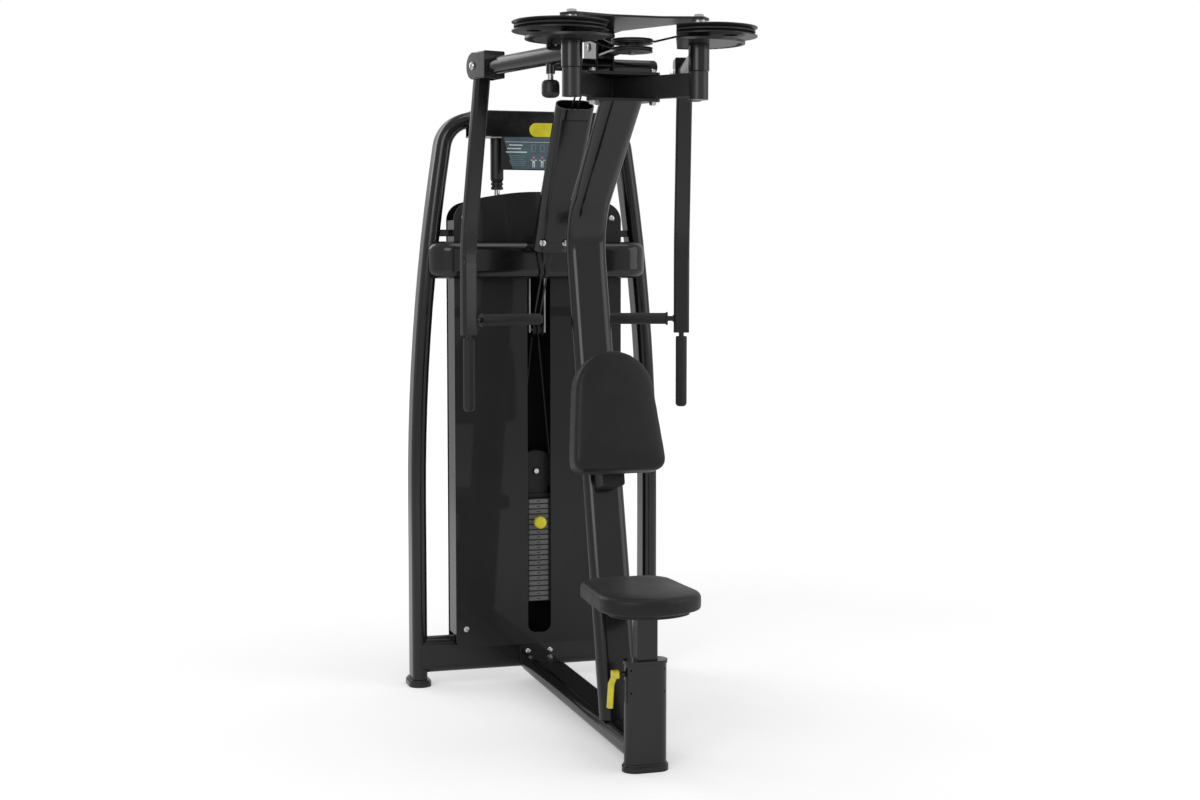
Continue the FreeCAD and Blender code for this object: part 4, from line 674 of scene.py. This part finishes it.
def circle(radius, steps=32):
    return [(radius * math.cos(2 * math.pi * k / steps), radius * math.sin(2 * math.pi * k / steps))
            for k in range(steps)]


BOLT_X, BOLT_ZS, BOLT_FACE = 0.25, (0.188, 1.539), 1.11
RING_R, RING_HOLE_R, RING_T = 0.0132, 0.0092, 0.0005


def bolt_rings():
    """Dark rubber face on each cup washer of the stack cover."""
    def build(bm):
        for x in (-BOLT_X, BOLT_X):
            for z in BOLT_ZS:
                prism(bm, circle(RING_R), (x, BOLT_FACE, z), X_AXIS, Z_AXIS, RING_T, circle(RING_HOLE_R))
    finish_mesh(new_piece("cover_bolt_rings", build), "board", "frame")


STACK_Y, CARRIAGE_Z, CARRIAGE_ROPE_R = 1.173, 0.7, 0.0566
CARRIAGE_FACE, BOLT_FACE_R, BOLT_FACE_T = 1.147, 0.0082, 0.0012
ROLLER_Z, ROLLER_EXIT_X, ROLLER_EXIT_Y, ROLLER_EXIT_DROP = 1.172, 0.009, 1.1606, 0.003
ROPE_R = 0.003


def carriage_bolt_face():
    """Polished face of the bolt that carries the pulley on the weight carriage."""
    outline = moved(circle(BOLT_FACE_R), 0, CARRIAGE_Z)
    obj = front_marks("carriage_bolt_face", "chrome", [outline], CARRIAGE_FACE, "carriage",
                      BOLT_FACE_T)
    soften(obj, 0.0005)


def stack_falls():
    """Two falls from the rollers to the carriage's pulley, held on the frame, and the turn round the
    carriage's pulley.
    """
    for half, side in (("left", -1), ("right", 1)):
        ends = [Vector((side * ROLLER_EXIT_X, ROLLER_EXIT_Y, ROLLER_Z - ROLLER_EXIT_DROP)),
                Vector((side * CARRIAGE_ROPE_R, STACK_Y, CARRIAGE_Z))]
        fall = new_piece(half + "_stack_fall", lambda bm: tube(bm, ends, ROPE_R, 12))
        smooth(fall)
        finish_mesh(fall, "cable", "frame")
        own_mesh(fall)
    turns = [math.pi * (1 + k / 24) for k in range(25)]
    path = [Vector((CARRIAGE_ROPE_R * math.cos(t), STACK_Y, CARRIAGE_Z + CARRIAGE_ROPE_R * math.sin(t)))
            for t in turns]
    loop = new_piece("stack_cable_turn", lambda bm: tube(bm, path, ROPE_R, 12))
    smooth(loop)
    finish_mesh(loop, "cable", "carriage")
    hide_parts("stack_cable")


PIVOT_X, CAM_HUB_X, CAM_HUB_Y, CAM_Z = 0.182, 0.213, 0.09, 2.025
CAM_ROPE_R = 0.1236
CAM_FLAT_OUT, CAM_FLAT_TURN = 0.0595, math.radians(160)


def cam_rope(half, side):
    """The turn of cable that lies in a cam's groove and goes round with it."""
    out = Vector((math.cos(CAM_FLAT_TURN) * side, math.sin(CAM_FLAT_TURN), 0))
    pivot = Vector((PIVOT_X * side, CAM_HUB_Y, CAM_Z))
    hub = Vector((CAM_HUB_X * side, CAM_HUB_Y, CAM_Z))
    facing = math.atan2(out.y, out.x)
    path = []
    for k in range(181):
        turn = facing + 2 * math.pi * k / 180
        at = hub + Vector((math.cos(turn), math.sin(turn), 0)) * CAM_ROPE_R
        if (at - pivot).dot(out) < CAM_FLAT_OUT:
            path.append(at)
    obj = new_piece(half + "_cam_rope", lambda bm: tube(bm, path, ROPE_R, 10))
    smooth(obj)
    finish_mesh(obj, "cable", half + "_cam_group")


badge()
placard_print()
plate_labels("labels_resting", range(PLATES - LIFTED), "frame")
plate_labels("labels_lifted", range(PLATES - LIFTED, PLATES), "carriage")
bolt_rings()
carriage_bolt_face()
stack_falls()
cam_rope("left", -1)
cam_rope("right", 1)

# ------------------------------------------------------------------ floor, light, camera

SHOT = Matrix.Translation((-1.5496, -4.6374, 1.4)) @ Matrix.Rotation(math.radians(-17.02), 4, "Z") \
    @ Matrix.Rotation(math.radians(85.58), 4, "X")
LENS, SENSOR = 54.2, 36.0
FLOOR_HALF = 60
FLOOR_GLOW_NEAR, FLOOR_GLOW_FAR, GLOW_FROM, GLOW_TO = 0.32, 0.6, 2.5, 6.0
WORLD_LIGHT = 0.5
AIM = Vector((0, 0.5, 1.1))
LIGHTS = (("key", (-3.6, -3.8, 3.4), 3.0, 60), ("side", (4.0, -1.8, 2.8), 3.8, 44),
          ("rim", (-2.2, 4.2, 3.2), 2.4, 30), ("top", (0.4, 0.2, 5.0), 2.4, 22))


def white_floor():
    """Pale floor that glows to the camera a little more with distance, so that no horizon shows."""
    def build(bm):
        bmesh.ops.create_grid(bm, x_segments=2, y_segments=2, size=FLOOR_HALF)
    floor = new_piece("floor", build)
    mat, tree, bsdf = new_material("floor_white")
    speck = noise(tree, place(tree), 3.0)
    wire(tree, tint(tree, speck, (0.95, 0.95, 0.95), (0.97, 0.97, 0.97)), bsdf, 2, "Base Color")
    bsdf.inputs["Roughness"].default_value = 0.7
    bsdf.inputs["Specular IOR Level"].default_value = 0.1
    bsdf.inputs["Emission Color"].default_value = (1, 1, 1, 1)
    away = add(tree, "ShaderNodeVectorMath", {"operation": "LENGTH"})
    wire(tree, place(tree), away, 0, 0)
    seen = add(tree, "ShaderNodeLightPath")
    glow = add(tree, "ShaderNodeMath", {"operation": "MULTIPLY"})
    wire(tree, ramp(tree, away, FLOOR_GLOW_NEAR, FLOOR_GLOW_FAR, GLOW_FROM, GLOW_TO, "Value"), glow, 0, 0)
    wire(tree, seen, glow, "Is Camera Ray", 1)
    wire(tree, glow, bsdf, 0, "Emission Strength")
    floor.data.materials.append(mat)


def white_world():
    """White to the camera and softer to everything else."""
    world = bpy.data.worlds.new("studio")
    world.use_nodes = True
    tree = world.node_tree
    soft = tree.nodes["Background"]
    soft.inputs[0].default_value = (1, 1, 1, 1)
    soft.inputs[1].default_value = WORLD_LIGHT
    seen_white = add(tree, "ShaderNodeBackground", Color=(1, 1, 1, 1), Strength=1.0)
    ray = add(tree, "ShaderNodeLightPath")
    blend = add(tree, "ShaderNodeMixShader")
    wire(tree, ray, blend, "Is Camera Ray", 0)
    wire(tree, soft, blend, 0, 1)
    wire(tree, seen_white, blend, 0, 2)
    wire(tree, blend, tree.nodes["World Output"], 0, 0)
    bpy.context.scene.world = world
    bpy.context.scene.view_settings.view_transform = "Standard"


def lights():
    for name, spot, size, power in LIGHTS:
        light = bpy.data.lights.new(name, "AREA")
        light.size = size
        light.energy = power
        obj = bpy.data.objects.new(name, light)
        obj.location = spot
        obj.rotation_euler = (AIM - Vector(spot)).to_track_quat("-Z", "Y").to_euler()
        bpy.context.scene.collection.objects.link(obj)


def camera():
    data = bpy.data.cameras.new("camera")
    data.lens = LENS
    data.sensor_width = SENSOR
    obj = bpy.data.objects.new("camera", data)
    obj.matrix_world = SHOT
    bpy.context.scene.collection.objects.link(obj)
    bpy.context.scene.camera = obj


white_floor()
white_world()
lights()
camera()
